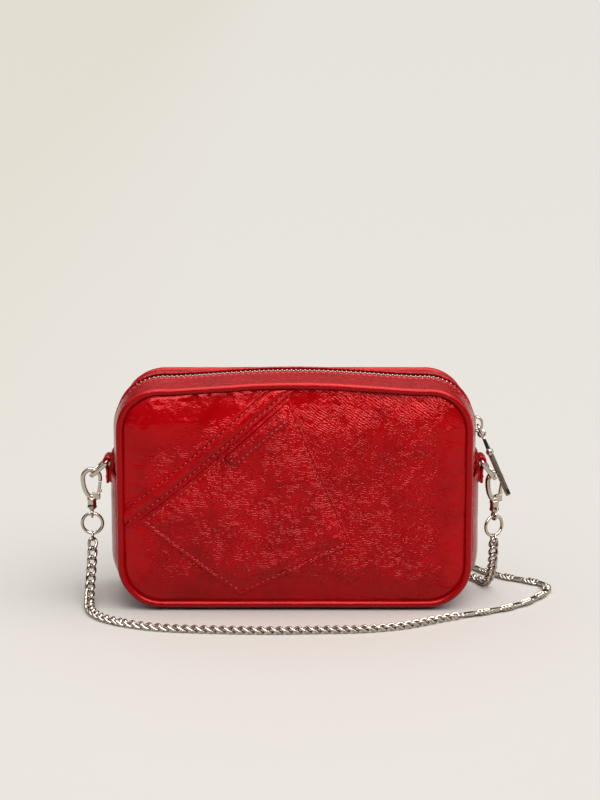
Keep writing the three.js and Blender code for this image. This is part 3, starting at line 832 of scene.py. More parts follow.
def coil_route():
    """Turns from the coil's back, out to in on the floor and back out on top, to the coil's front."""
    points = []
    steps = int(COIL_TURNS * 28)
    for i in range(steps + 1):
        turn = COIL_TURNS * i / steps
        angle = QUARTER + 2 * math.pi * turn
        inward = smooth_step(turn, 0.75, 1.1) - smooth_step(turn, 1.8, 2.2)
        radius = COIL_OUTER - (COIL_OUTER - COIL_INNER) * inward
        x, y = COIL_CENTRE[0] + radius * math.cos(angle), COIL_CENTRE[1] + radius * math.sin(angle)
        points.append((x, y, REST_Z + COIL_LIFT * smooth_step(turn, 1.65, 1.95)))
    return points


def smooth_curve(points, per_span=12):
    """A Catmull-Rom curve through the points, with end tangents from the first and last spans."""
    points = [Vector(p) for p in points]
    ends = [2 * points[0] - points[1], *points, 2 * points[-1] - points[-2]]
    curve = []
    for i in range(1, len(ends) - 2):
        a, b, c, d = ends[i - 1 : i + 3]
        for k in range(per_span):
            t = k / per_span
            chord = (2 * b) + (c - a) * t
            curve.append(0.5 * (chord + (2 * a - 5 * b + 4 * c - d) * t**2 + (3 * b - a - 3 * c + d) * t**3))
    return curve + [points[-1]]


class Route:
    """A curve with its distances and a direction across it at every point."""

    def __init__(self, points):
        self.points = smooth_curve(points)
        self.distances = distances_along(self.points)
        self.length = float(self.distances[-1])
        self.normals = self.carried_normals()

    def tangent(self, i):
        before, after = max(i - 1, 0), min(i + 1, len(self.points) - 1)
        return (self.points[after] - self.points[before]).normalized()

    def carried_normals(self):
        """Starts facing the front, is carried along, and turns up wherever the chain lies flat."""
        normal = Vector((0, -1, 0))
        normals = []
        for i in range(len(self.points)):
            tangent = self.tangent(i)
            if abs(tangent.z) < 0.5:
                up = Vector((0, 0, 1)) - tangent * tangent.z
                normal = normal.lerp(up.normalized(), 0.15)
            normal = (normal - tangent * normal.dot(tangent)).normalized()
            normals.append(normal.copy())
        return normals

    def at(self, distance):
        i, t = locate(self.distances, distance)
        tangent = self.tangent(i - 1).lerp(self.tangent(i), t).normalized()
        return self.points[i - 1].lerp(self.points[i], t), tangent, self.normals[i - 1]

    def point(self, distance):
        return self.at(distance)[0]

    def matrix(self, distance):
        point, tangent, normal = self.at(distance)
        return axes_at(point, tangent, normal.cross(tangent), normal)

    def distance_of(self, place):
        nearest = min(range(len(self.points)), key=lambda i: (self.points[i] - place).length_squared)
        return float(self.distances[nearest])

    def between(self, start, end):
        inside = [p for p, d in zip(self.points, self.distances) if start < d < end]
        return [self.point(start), *inside, self.point(end)]


def curb_link(half_length, half_width, wire, twist, count):
    """An oval link twisted so that it lies flat beside its neighbours."""
    angles = circle_angles(count)
    points = [(half_length * math.cos(t), half_width * math.sin(t), twist * math.sin(2 * t)) for t in angles]
    return sweep(points, (0, 0, 1), round_section(wire, 8), True)


def bar_link():
    """A long flat link: a solid bar with a round eye at each end."""
    middle = BAR_HALF_LENGTH - BAR_EYE
    reach = middle - 1.2
    points = [(x, 0, 0) for x in np.linspace(-reach, reach, 8)]
    shaft = sweep(points, (0, 1, 0), block_section(1.6, 0.85, 0.45))
    eye = moved(ring(BAR_EYE - 0.55, 0.7, 8, 18), Matrix.Rotation(-QUARTER, 4, "X"))
    eyes = [moved(eye, Matrix.Translation((way * middle, 0, 0))) for way in (-1, 1)]
    return merge([shaft, *eyes])


CURB = curb_link(3.0, LINK_HALF_WIDTH, LINK_WIRE, 0.95, 26)
BAR = bar_link()
KNOT = curb_link(2.1, 1.8, 0.66, 0.8, 18)


def chain_links(route, start, end, patterned):
    """Links whose middles lie between two distances; patterned is the stretch of bars and small links."""
    parts = []
    distance = start + LINK_PITCH / 2
    while distance <= end:
        if patterned and patterned[0] <= distance <= patterned[1] - BAR_PITCH:
            parts.append(moved(BAR, route.matrix(distance + BAR_PITCH * 0.3)))
            for place in (0.68, 0.83, 0.98):
                parts.append(moved(KNOT, route.matrix(distance + BAR_PITCH * place)))
            distance += BAR_PITCH
        else:
            parts.append(moved(CURB, route.matrix(distance)))
            distance += LINK_PITCH
    return merge(parts)


def make_cord(name, route, start, end, *nodes, body=None, patterned=None):
    piece = make_piece(name, chain_links(route, start, end, patterned), CHAIN_METAL, body, *nodes)
    path = [p * MM for p in route.between(start, end)]
    # The first stretch hangs on the left O-ring, and every other one joins the stretch before it.
    leaves_at = route.point(start) if start else LEFT_TOP
    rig.cord(
        piece,
        exit=tuple(leaves_at * MM),
        length=round(sum((b - a).length for a, b in zip(path, path[1:])), 4),
        diameter=CHAIN_WIDTH * MM,
        far_end="object",
        stiffness="limp",
        lay="loose",
        path=path,
    )
    return piece


def make_strap():
    flat_front, flat_back = ([(x, y, REST_Z) for x, y in route] for route in (FRONT_ROUTE, BACK_ROUTE))
    route = Route(LEFT_ROUTE + flat_front + coil_route() + flat_back + RIGHT_ROUTE)
    total = route.length
    first, second = DROP_PART, 2 * DROP_PART
    bars_start = route.distance_of(BARS_START)
    left_top = make_cord("chain_left_top", route, 0, first)
    left_hang = make_cord("chain_left_hang", route, first, second, "chain_left_drop")
    floor_nodes = ("chain_front_run", "chain_coil", "chain_back_run")
    patterned = (bars_start, total - bars_start)
    make_cord("chain_floor_run", route, second, total - second, *floor_nodes, body="bag", patterned=patterned)
    right_hang = make_cord("chain_right_hang", route, total - second, total - first, "chain_right_drop")
    right_top = make_cord("chain_right_top", route, total - first, total)
    for word, top, hang, place in (
        ("left", left_top, left_hang, lambda d: route.point(d) * MM),
        ("right", right_top, right_hang, lambda d: route.point(total - d) * MM),
    ):
        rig.blend(top, "ring_" + word, "hook_" + word, start=place(first - 6), end=place(2))
        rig.blend(hang, "bag", "ring_" + word, start=place(second - 4), end=place(first))


def make_joining_ring(word):
    """The small round ring between the O-ring and the first link."""
    low, high = box_mm("o_ring_" + word)
    wide = (high[0] - low[0]) / (high[2] - low[2])
    turn = QUARTER + (0 if word == "left" else math.acos(min(wide, 1)))
    place = o_ring_bottom(word) + Vector((0, 0, -0.9))
    part = moved(ring(2.3, 0.55), Matrix.Translation(place) @ Matrix.Rotation(turn, 4, "Z"))
    make_piece("joining_ring_" + word, part, CHAIN_METAL, "o_ring_" + word)


make_strap()
make_joining_ring("left")
make_joining_ring("right")

# ---- Panels ----

PANEL_INSET = 1.2
PANEL_HALF_WIDTH = PIPING_HALF_WIDTH - PANEL_INSET
PANEL_HALF_HEIGHT = (PIPING_TOP - PIPING_BOTTOM) / 2 - PANEL_INSET
PANEL_MIDDLE = (PIPING_BOTTOM + PIPING_TOP) / 2
PANEL_CORNER = PIPING_CORNER - PANEL_INSET
PANEL_EDGE_Y = PIPING_Y - 0.4
PANEL_BACK_Y = PIPING_Y - 1.6
PANEL_COLUMNS, PANEL_ROWS = 260, 170
EDGE_CROWDING = 0.35
CROWN_RISE = 3.3
CROWN_REACH = 64
CLOTH_FRAMES = 20
CLOTH_COLUMNS, CLOTH_ROWS = 84, 56
CLOTH_REACH = 0.8
CLOTH_SETTINGS = {
    "quality": 6,
    "mass": 0.2,
    "tension_stiffness": 25,
    "compression_stiffness": 25,
    "shear_stiffness": 10,
    "bending_stiffness": 0.3,
    "air_damping": 2,
    "vertex_group_mass": "rim",
    "shrink_min": -0.004,
    "use_pressure": True,
    "uniform_pressure_force": 4,
}


def edge_distance(x, z):
    """How far a point is inside the panel's rounded outline."""
    qx = abs(x) - (PANEL_HALF_WIDTH - PANEL_CORNER)
    qz = abs(z - PANEL_MIDDLE) - (PANEL_HALF_HEIGHT - PANEL_CORNER)
    outside = math.hypot(max(qx, 0), max(qz, 0))
    return PANEL_CORNER - outside - min(max(qx, qz), 0)


def square_to_panel(u, v):
    """Maps a square onto the rounded outline, ring by ring."""
    ring_size = max(abs(u), abs(v))
    if ring_size == 0:
        return 0, PANEL_MIDDLE
    x, z = u / ring_size * PANEL_HALF_WIDTH, v / ring_size * PANEL_HALF_HEIGHT
    corner_x, corner_z = PANEL_HALF_WIDTH - PANEL_CORNER, PANEL_HALF_HEIGHT - PANEL_CORNER
    if abs(x) > corner_x and abs(z) > corner_z:
        away = Vector((abs(x) - corner_x, abs(z) - corner_z)).normalized() * PANEL_CORNER
        x = math.copysign(corner_x + away.x, x)
        z = math.copysign(corner_z + away.y, z)
    return x * ring_size, z * ring_size + PANEL_MIDDLE


def start_height(x, z):
    """The skin before it is inflated: a low crown, slightly smaller than the finished one."""
    return 2.2 * (1 - math.exp(-max(edge_distance(x, z), 0) / 4.5))


def settle_skin(seed):
    """Inflates a pinned sheet of leather, a little larger than its frame; returns it as a ray-cast tree."""

    def place(u, v):
        x, z = square_to_panel(2 * u - 1, 2 * v - 1)
        slack = 0.15 * wobble(x, 0, z, 18, seed) * min(max(edge_distance(x, z), 0) / 4, 1)
        return x * MM, -(start_height(x, z) + slack) * MM, z * MM

    faces, rim = grid_faces(CLOTH_COLUMNS, CLOTH_ROWS)
    mesh = bpy.data.meshes.new("skin")
    mesh.from_pydata(grid_points(CLOTH_COLUMNS, CLOTH_ROWS, place), [], faces)
    skin = add_object("skin", mesh)
    skin.vertex_groups.new(name="rim").add(rim, 1.0, "REPLACE")
    cloth = skin.modifiers.new("cloth", "CLOTH")
    for key, value in CLOTH_SETTINGS.items():
        setattr(cloth.settings, key, value)
    cloth.settings.effector_weights.gravity = 0
    cloth.collision_settings.use_collision = False
    cloth.point_cache.frame_start = 1
    cloth.point_cache.frame_end = CLOTH_FRAMES
    for frame_number in range(1, CLOTH_FRAMES + 1):
        bpy.context.scene.frame_set(frame_number)
    settled = skin.evaluated_get(bpy.context.evaluated_depsgraph_get())
    tree = BVHTree.FromPolygons([v.co / MM for v in settled.data.vertices], faces)
    bpy.data.objects.remove(skin)
    bpy.data.meshes.remove(mesh)
    bpy.context.scene.frame_set(1)
    return tree


FRONT_SEED, BACK_SEED = 1, 9
SKINS = {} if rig.quick() else {seed: settle_skin(seed) for seed in (FRONT_SEED, BACK_SEED)}


def settled_height(x, z, seed):
    """How much further out the inflated skin lies than where it started."""
    if seed not in SKINS:
        return 0.0
    hit = SKINS[seed].ray_cast(Vector((x, -60, z)), Vector((0, 1, 0)))[0]
    if hit is None:
        return 0.0
    return float(np.clip(-hit.y - start_height(x, z), -CLOTH_REACH, CLOTH_REACH))


def panel_y(x, z, side=-1, seed=FRONT_SEED):
    """A panel's face: crowned, with slow waves, and puckered near the seam."""
    inside = max(edge_distance(x, z), 0)
    crown = 3.9 * (1 - math.exp(-inside / 6.5)) + 0.9 * smooth_step(inside, 0, 42)
    waves = 0.32 * wobble(x, 0, z, 34, seed) + 0.14 * wobble(x, 0, z, 13, seed + 1)
    pucker = 0.16 * wobble(x, 0, z, 5, seed + 2) * math.exp(-inside / 9)
    loose = min(inside / 8, 1) * waves + pucker * min(inside / 1.5, 1)
    return side * (PANEL_EDGE_Y + crown + loose + settled_height(x, z, seed))


def crowned(part):
    """Lifts the middle of the bag's top a little above its corners."""
    vertices, faces = part
    lifted = []
    for x, y, z in vertices:
        along = math.cos(QUARTER * min(abs(x) / CROWN_REACH, 1)) ** 1.3
        forward = 1 - smooth_step(y, 2, BAND_HALF_DEPTH)
        lifted.append((x, y, z + CROWN_RISE * along * forward * smooth_step(z, 50, PIPING_TOP)))
    return lifted, faces


def crowd_to_edge(t):
    """Spaces a grid line between -1 and 1 closer towards both ends."""
    return math.sin(t * QUARTER) * EDGE_CROWDING + t * (1 - EDGE_CROWDING)


def make_panel(name, side, seed):
    def place(u, v):
        x, z = square_to_panel(crowd_to_edge(2 * u - 1), crowd_to_edge(2 * v - 1))
        return x, panel_y(x, z, side, seed), z

    part = backed_grid(PANEL_COLUMNS, PANEL_ROWS, place, lambda x, y, z: (x, side * PANEL_BACK_Y, z))
    piece = make_piece(name + "_leather", crowned(part), CREASED, "bag", name)
    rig.padded(piece, fill=0.4)


make_panel("front_panel", -1, FRONT_SEED)
make_panel("back_panel", 1, BACK_SEED)

# ---- Pieces sewn on the front ----

PAD_THICKNESS = 1.2
UNDER_PIPING = 3
# A thread's pitch, its stitch's length and its radius.
COARSE = (3.0, 2.1, 0.3)
MEDIUM = (2.6, 1.8, 0.26)
FINE = (2.4, 1.7, 0.26)


def stitch(middle, along, out, length, radius):
    """One sunk stitch of thread, thick in the middle and pulled in at both ends."""
    along, out = Vector(along).normalized(), Vector(out).normalized()
    steps = 6
    points, radii = [], []
    for k in range(steps + 1):
        t = k / steps
        arch = math.sin(math.pi * t)
        points.append(Vector(middle) + along * (t - 0.5) * length + out * radius * (arch * 1.1 - 0.55))
        radii.append(radius * (0.35 + 0.65 * arch))
    return sweep(points, out, lambda t: round_section(radii[round(t * steps)], 6))


def stitch_row(points, out, thread=FINE):
    """Stitches at an even pitch along a line; out is the way up, or gives it for a point."""
    pitch, length, radius = thread
    line = [Vector(p) for p in points]
    distances = distances_along(line)
    count = max(1, int(distances[-1] / pitch))
    parts = []
    for k in range(count):
        i, t = locate(distances, (k + 0.5) * distances[-1] / count)
        middle = line[i - 1].lerp(line[i], t)
        upward = out(middle) if callable(out) else out
        parts.append(stitch(middle, line[i] - line[i - 1], upward, length, radius))
    return parts


def edge_ends(corners, index):
    return corners[index], corners[(index + 1) % 4]


def node_corners(name):
    """The four corners of a flat CAD piece, in x and z, anticlockwise."""
    mesh = frame["nodes"][name].data
    face_y = min(v.co.y for v in mesh.vertices)
    seen = []
    for vertex in mesh.vertices:
        point = (vertex.co.x / MM, vertex.co.z / MM)
        if vertex.co.y < face_y + 1e-5 and all(math.dist(point, other) > 0.5 for other in seen):
            seen.append(point)
    middle = (sum(p[0] for p in seen) / len(seen), sum(p[1] for p in seen) / len(seen))
    seen.sort(key=lambda p: math.atan2(p[1] - middle[1], p[0] - middle[0]))
    assert len(seen) == 4, (name, seen)
    return seen


def line_distance(point, a, b):
    """Distance inside the edge from a to b, for corners that run anticlockwise."""
    along = (b[0] - a[0], b[1] - a[1])
    length = math.hypot(*along)
    return ((point[1] - a[1]) * along[0] - (point[0] - a[0]) * along[1]) / length


class Pad:
    """A four-cornered pad lying on the front panel: a rolled edge, a sewn groove and a raised middle."""

    def __init__(self, node, roll, seam, middle, sink, lift):
        """roll is (height, reach), seam is (inset, depth, width), and middle is (height, inset reached)."""
        self.node = node
        self.corners = node_corners(node)
        self.roll, self.seam, self.middle = roll, seam, middle
        self.sink, self.lift = sink, lift

    def height(self, inside):
        roll, reach = self.roll
        inset, depth, width = self.seam
        rise, plateau = self.middle
        edge = roll * math.sqrt(max(0, 1 - (1 - min(inside / reach, 1)) ** 2))
        groove = -depth * math.exp(-(((inside - inset) / width) ** 2))
        return edge + groove + rise * smooth_step(inside, inset, plateau) - self.sink + self.lift

    def lengthened(self, edges, extra):
        """Moves both ends of the given edges outward, so that the piece runs under the piping."""
        longer = [Vector(corner) for corner in self.corners]
        for edge in edges:
            a, b = (Vector(corner) for corner in edge_ends(self.corners, edge))
            push = (b - a).normalized() * extra
            longer[edge] -= push
            longer[(edge + 1) % 4] += push
        self.corners = [tuple(corner) for corner in longer]

    def make(self, columns, rows, seed, material, edges=range(4)):
        """Edges are the ones that show; the pad is as high as the nearest of them says."""
        sides = [edge_ends(self.corners, edge) for edge in edges]

        def place(u, v):
            shares = ((1 - u) * (1 - v), u * (1 - v), u * v, (1 - u) * v)
            x, z = (sum(s * corner[i] for s, corner in zip(shares, self.corners)) for i in (0, 1))
            inside = max(min(line_distance((x, z), a, b) for a, b in sides), 0)
            height = self.height(inside) + 0.1 * wobble(x, 0, z, 9, seed) * min(inside / 3, 1)
            return x, panel_y(x, z) - height, z

        part = backed_grid(columns, rows, place, lambda x, y, z: (x, y + PAD_THICKNESS, z))
        piece = make_piece(self.node + "_pad", crowned(part), material, "bag", self.node)
        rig.padded(piece, fill=0.5)

    def seam_stitches(self, index, trim, thread):
        """Stitches in the groove along one edge, trimmed at both ends."""
        a, b = (Vector(corner) for corner in edge_ends(self.corners, index))
        along = (b - a).normalized()
        inset = self.seam[0]
        inward = Vector((-along.y, along.x)) * inset
        points = []
        for t in np.linspace(trim, (b - a).length - trim, 40):
            flat = a + along * t + inward
            points.append((flat.x, panel_y(flat.x, flat.y) - self.height(inset), flat.y))
        return stitch_row(points, (0, -1, 0), thread)


def make_front_pads():
    band = Pad("diagonal_band", (0.9, 0.9), (2.1, 0.55, 0.45), (0.75, 4.4), 0.15, 0.1)
    relief = Pad("relief_patch", (0.75, 0.8), (2.2, 0.5, 0.5), (0.9, 9), 0.12, 0.0)
    patch = Pad("stitched_patch", (0.6, 0.6), (1.5, 0.3, 0.35), (0.35, 3.5), 0.1, 1.35)
    stitches = []
    for index in range(4):
        stitches += relief.seam_stitches(index, 3.2, COARSE)
        stitches += patch.seam_stitches(index, 1.8, MEDIUM)
    long_edges = sorted(range(4), key=lambda e: -math.dist(*edge_ends(band.corners, e)))[:2]
    for index in long_edges:
        stitches += band.seam_stitches(index, 2, COARSE)
    band.lengthened(long_edges, UNDER_PIPING)
    band.make(160, 60, 3, SOFT, long_edges)
    relief.make(170, 170, 4, CREASED)
    patch.make(70, 40, 5, GRAINED)
    make_piece("front_stitches", crowned(merge(stitches)), THREAD, "bag")


make_front_pads()

# ---- Piping ----


def make_piping(name, y):
    centres, firsts = [], []
    loop = rounded_loop(PIPING_HALF_WIDTH, PIPING_BOTTOM, PIPING_TOP, PIPING_CORNER, 1.0)
    for (x, z), (ox, oz) in zip(*loop):
        waver = 0.12 * wobble(x, y, z, 14, 3) + 0.05 * wobble(x, y, z, 4, 4)
        centres.append((x + ox * waver, y, z + oz * waver))
        firsts.append((ox, 0, oz))
    part = sweep(centres, firsts, round_section(PIPING_RADIUS - 0.15, 14), True)
    make_piece(name + "_cord", crowned(part), SMOOTH, "bag", name)


make_piping("front_piping", -PIPING_Y)
make_piping("back_piping", PIPING_Y)

# ---- Gusset and zip strips ----

STRIP_SEAM = 2.9


def band_shell(run, ys, outward_at, thickness):
    """A closed shell over a run; outward_at(x, y, z, distance) is how far its face stands out."""
    points, outwards = run
    rows, offset = len(ys), len(ys) * len(points)
    outer, inner = [], []
    for (x, z), (ox, oz), distance in zip(points, outwards, distances_along(points)):
        for y in ys:
            out = outward_at(x, y, z, distance)
            outer.append((x + ox * out, y, z + oz * out))
            inner.append((x + ox * (out - thickness), y, z + oz * (out - thickness)))
    faces = []
    for k in range(len(points) - 1):
        for m in range(rows - 1):
            a = k * rows + m
            faces.append((a, a + 1, a + rows + 1, a + rows))
            faces.append((offset + a, offset + a + rows, offset + a + rows + 1, offset + a + 1))
        for a in (k * rows, k * rows + rows - 1):
            faces.append((a, a + rows, offset + a + rows, offset + a))
    for k in (0, len(points) - 1):
        for a in range(k * rows, k * rows + rows - 1):
            faces.append((a, a + 1, offset + a + 1, offset + a))
    return outer + inner, faces


def gusset_outward(x, y, z, _distance):
    """The band's face: arched between the piping, with loose folds that stand out at the sides."""
    loose = 1 - (y / BAND_HALF_DEPTH) ** 2
    arch = -1.5 + 3.7 * loose**0.8
    side = smooth_step(z, 4, 24) * smooth_step(abs(x), 60, 88)
    folds = 0.5 * wobble(x, y, z, 26, 11) + 0.25 * wobble(x, y * 0.6, z, 9, 12)
    return arch + side * loose * (1.0 + 0.7 * folds) + (1 - side) * min(0.1 * loose * folds, 0)


def make_gusset():
    ys = np.linspace(-BAND_HALF_DEPTH, BAND_HALF_DEPTH, 46)
    shell = band_shell(band_run(SEAM_Z, BAND_BOTTOM, 1.3), ys, gusset_outward, 1.4)
    make_piece("gusset_leather", shell, GRAINED, "bag", "gusset")


def strip_outward(x, y, z, _distance):
    """The strip's face: down at the piping, up to a turned edge by the zip."""
    inside = abs(y) - STRIP_EDGE_Y
    across = inside / (BAND_HALF_DEPTH - STRIP_EDGE_Y)
    slope = 0.8 - 2.4 * across**1.3
    roll = 0.25 * math.exp(-(((inside - 1.0) / 0.9) ** 2))
    groove = -0.35 * math.exp(-(((inside - STRIP_SEAM) / 0.5) ** 2))
    ease = math.sin(math.pi * min(max(across, 0), 1))
    waves = ease * (0.35 * wobble(x, y, z, 24, 21) + 0.15 * wobble(x, y, z, 8, 22))
    return slope + roll + groove + waves


def make_zip_strip(word, side):
    name = "zip_strip_" + word
    run = band_run(SEAM_Z + 0.2, ZIP_TOP, 1.2)
    ys = [side * y for y in np.linspace(STRIP_EDGE_Y, BAND_HALF_DEPTH, 36)]
    make_piece(name + "_leather", crowned(band_shell(run, ys, strip_outward, 1.3)), GRAINED, "bag", name)
    y = side * (STRIP_EDGE_Y + STRIP_SEAM)
    seam = []
    for (x, z), (ox, oz) in zip(*run):
        out = strip_outward(x, y, z, 0) + 0.05
        seam.append(Vector((x + ox * out, y, z + oz * out)))

    def out_at(middle):
        nearest = min(range(len(seam)), key=lambda k: (seam[k] - middle).length_squared)
        ox, oz = run[1][nearest]
        return (ox, 0, oz)

    stitches = merge(stitch_row(seam[3:-3], out_at, COARSE))
    make_piece(name + "_stitches", crowned(stitches), THREAD, "bag")


make_gusset()
make_zip_strip("front", -1)
make_zip_strip("back", 1)

# ---- Zip ----

TOOTH_PITCH = 2.4
TOOTH_LOW, TOOTH_HIGH = (-0.45, -1.2, -0.9), (0.45, 1.2, 0.9)


def tape_outward(_x, _y, _z, distance):
    """The tape's face: below the run and faintly ribbed along it."""
    return -1.0 + 0.05 * math.sin(distance * 3)


def make_zip_tape(word, side, run):
    ys = [side * y for y in np.linspace(0.9, 9.0, 10)]
    name = "zip_tape_" + word
    make_piece(name + "_cloth", crowned(band_shell(run, ys, tape_outward, 0.55)), TAPE, "bag", name)


def make_zip_teeth(word, side, run):
    """Teeth along the tape's edge; those of the back tape lie between those of the front one."""
    points, outwards = ([Vector((x, 0, z)) for x, z in pairs] for pairs in run)
    distances = distances_along(points)
    block = bevelled_block(TOOTH_LOW, TOOTH_HIGH, 0.25)
    parts = []
    for place in np.arange(TOOTH_PITCH * (0.5 if side < 0 else 1.0), distances[-1] - 0.5, TOOTH_PITCH):
        i, t = locate(distances, place)
        centre = points[i - 1].lerp(points[i], t) + Vector((0, side, 0)) - outwards[i] * 0.55
        along = (points[i] - points[i - 1]).normalized()
        parts.append(moved(block, axes_at(centre, along, Vector((0, 1, 0)), outwards[i])))
    name = "zip_teeth_" + word
    make_piece(name + "_metal", crowned(merge(parts)), METAL, "bag", name)


def make_zip_stop(word):
    name = "zip_stop_" + word
    low, high = box_mm(name)
    part = bevelled_block(low, high, 0.5, 3)
    inset = np.array((-0.15, 0.7, -0.1))
    band = bevelled_block(low + inset, high - inset, 0.25)
    make_piece(name + "_crimp", merge([part, band]), METAL, "bag", name)


ZIP_RUN = band_run(ZIP_END_Z, ZIP_TOP, 1.2)
for zip_word, zip_side in (("front", -1), ("back", 1)):
    make_zip_tape(zip_word, zip_side, ZIP_RUN)
    make_zip_teeth(zip_word, zip_side, ZIP_RUN)
make_zip_stop("left")
make_zip_stop("right")

# ---- Slider and pull ----

SLIDER_HALF_WIDTH = 4.2
PULL_LEAN, PULL_FORWARD = math.radians(-24), math.radians(-12)
ROD_TWIST = math.radians(25)


def make_slider():
    low, high = box_mm("zip_slider")
    middle_z = (low[2] + high[2]) / 2
    face, half = BAND_HALF_WIDTH, SLIDER_HALF_WIDTH
    top = bevelled_block((face - 0.1, -half, low[2]), (face + 1.3, half, high[2]), 0.6, 3)
    bottom = bevelled_block((low[0], -4.0, low[2] + 0.3), (low[0] + 0.8, 4.0, high[2] - 0.3), 0.3)
    neck = bevelled_block((low[0] + 0.5, -0.3, middle_z - 2.2), (face + 0.5, 0.3, middle_z + 2.2), 0.1)
    wings = []
    for y in (-3.6, 3.6):
        wing_low, wing_high = (face - 0.9, y - 0.4, low[2] + 0.8), (face + 0.6, y + 0.4, high[2] - 0.8)
        wings.append(bevelled_block(wing_low, wing_high, 0.25))
    points = []
    for t in np.linspace(0, math.pi, 18):
        points.append((face + 1.0 + 3.9 * math.sin(t) ** 0.7, 0, middle_z + 3.7 * math.cos(t)))
    bridge = sweep(points, (0, 1, 0), block_section(1.2, 0.62, 0.4))
    body = merge([top, bottom, neck, *wings, bridge])
    make_piece("slider_body", body, METAL, "slider", "zip_slider")


def make_pull_link(top, end):
    """A rounded rectangle of wire between the slider's bridge and the pull's eye."""
    drop = (end - top).length
    points = [(0, y, z) for y, z in rounded_loop(2.6, -drop, 0, 1.2, 0.4)[0]]
    lean = math.atan2(end.x - top.x, top.z - end.z)
    matrix = Matrix.Translation(top) @ Matrix.Rotation(-lean, 4, "Y")
    loop = moved(sweep(points, (1, 0, 0), round_section(0.7, 12), True), matrix)
    make_piece("pull_link_loop", loop, METAL, "pull_link", "pull_link")


def rod_section(t):
    """Square, and drawn in at the very end."""
    half = 0.95 if t == 1 else 1.15
    return block_section(half, half, 0.2)


def make_pull_bar(end):
    eye = ring(1.75, 0.62)
    arm_points = [(0, 0, z) for z in np.linspace(-2.1, -9.8, 8)]
    arm = sweep(arm_points, (1, 0, 0), lambda t: block_section(0.85 + 0.35 * t, 0.7, 0.35))
    steps = [(0.9, -9.1), (1.4, -9.3), (1.9, -9.7), (1.95, -10.3), (1.95, -11.2), (1.7, -11.9), (1.2, -12.2)]
    collar = lathe(steps, 28)
    rod_points = [(0, 0, z) for z in (-11.8, -12.2, *np.linspace(-13, -34.8, 8), -35.5)]
    twisted = (math.cos(ROD_TWIST), math.sin(ROD_TWIST), 0)
    rod = sweep(rod_points, twisted, rod_section)
    turn = Matrix.Rotation(PULL_LEAN, 4, "Y") @ Matrix.Rotation(PULL_FORWARD, 4, "X")
    bar = moved(merge([eye, arm, collar, rod]), Matrix.Translation(end) @ turn)
    make_piece("pull_bar_rod", bar, METAL, "pull", "pull_bar")


make_slider()
make_pull_link(joint_point("pull_link_swing"), joint_point("pull_bar_swing"))
make_pull_bar(joint_point("pull_bar_swing"))

# ---- Side fittings ----

RING_HALF_WIDTH = 6.5
RING_WIRE = 1.05
RING_DEPTH = 12.5
RING_BEND = 1.4
TAB_HALF_WIDTH = 5.2
TAB_THREAD_X = 2.72
END_HALF_WIDTH = 6.3
HOOK_BEND = 4.6
HOOK_BEND_Z = -1.65
BARREL_TOP = -12.6
BARREL_BOTTOM = -18.0
EYE_Z = -20.9
O_RING_RADIUS = 5.4


def make_tab(word, side):
    """A strap of leather folded round the ring's bar and sewn down on itself."""
    low, high = box_mm("tab_" + word)
    bar = joint_point(f"ring_{word}_swing")
    wall = abs(low[0] if side > 0 else high[0])
    reach = RING_WIRE + 0.95
    centres = [(wall + 1.95, low[2] + 0.3), (wall + 2.05, bar.z - 5)]
    for angle in np.radians(np.linspace(-45, 190, 14)):
        centres.append((abs(bar.x) + reach * math.cos(angle), bar.z + reach * math.sin(angle)))
    centres += [(wall + 0.45, bar.z - 4.5), (wall + 0.4, low[2] + 0.9)]
    curve = smooth_curve([(side * x, 0, z) for x, z in centres], 5)
    loop = sweep(curve, (0, 1, 0), block_section(TAB_HALF_WIDTH, 0.75, 0.6))
    make_piece("tab_" + word + "_loop", loop, SOFT, "bag", "tab_" + word)
    x = side * (wall + TAB_THREAD_X)
    lines = [[(x, y, z) for z in np.linspace(low[2] + 1.2, bar.z - 6, 8)] for y in (-3.9, 3.9)]
    lines.append([(x, y, low[2] + 1.4) for y in np.linspace(-3.6, 3.6, 6)])
    stitches = merge([part for line in lines for part in stitch_row(line, (side, 0, 0))])
    make_piece("tab_" + word + "_stitches", stitches, THREAD, "bag")


def make_zip_end(word, side):
    """The leather square that closes the end of the zip, under the tab, and the stitched hem below it."""
    near, far = BAND_HALF_WIDTH + 0.8, BAND_HALF_WIDTH + 2.5
    low, high = sorted((side * near, side * far))
    half = END_HALF_WIDTH
    square = bevelled_block((low, -half, SEAM_Z - 4), (high, half, ZIP_END_Z + 2.2), 0.5, 3)
    make_piece("zip_end_" + word, square, GRAINED, "bag")
    line = [(side * (far + 0.1), y, ZIP_END_Z + 1.2) for y in np.linspace(-5.4, 5.4, 8)]
    make_piece("zip_end_" + word + "_stitches", merge(stitch_row(line, (side, 0, 0))), THREAD, "bag")


def make_fitting(kind, word, suffix, part):
    """A moving metal piece at one side; it replaces the CAD node that its body is named after."""
    name = f"{kind}_{word}"
    make_piece(f"{name}_{suffix}", part, METAL, name, name)


def make_d_ring(word):
    bar, end = joint_point(f"ring_{word}_swing"), joint_point(f"hook_{word}_swing")
    down, sideways = (end - bar).normalized(), Vector((0, 1, 0))
    half, bend, arc = RING_HALF_WIDTH, RING_BEND, RING_DEPTH - RING_HALF_WIDTH
    outline = outline_run(
        [
            ("line", (-half + bend, 0), (half - bend, 0), (0, -1)),
            ("arc", (half - bend, bend), bend, -QUARTER, 0),
            ("line", (half, bend), (half, arc), (1, 0)),
            ("arc", (0, arc), half, 0, math.pi),
            ("line", (-half, arc), (-half, bend), (-1, 0)),
            ("arc", (-half + bend, bend), bend, math.pi, 3 * QUARTER),
        ],
        0.5,
    )
    points = [bar + sideways * u + down * v for u, v in outline[0]]
    wire = sweep(points, down.cross(sideways), block_section(RING_WIRE, RING_WIRE, 0.4), True)
    make_fitting("ring", word, "wire", wire)


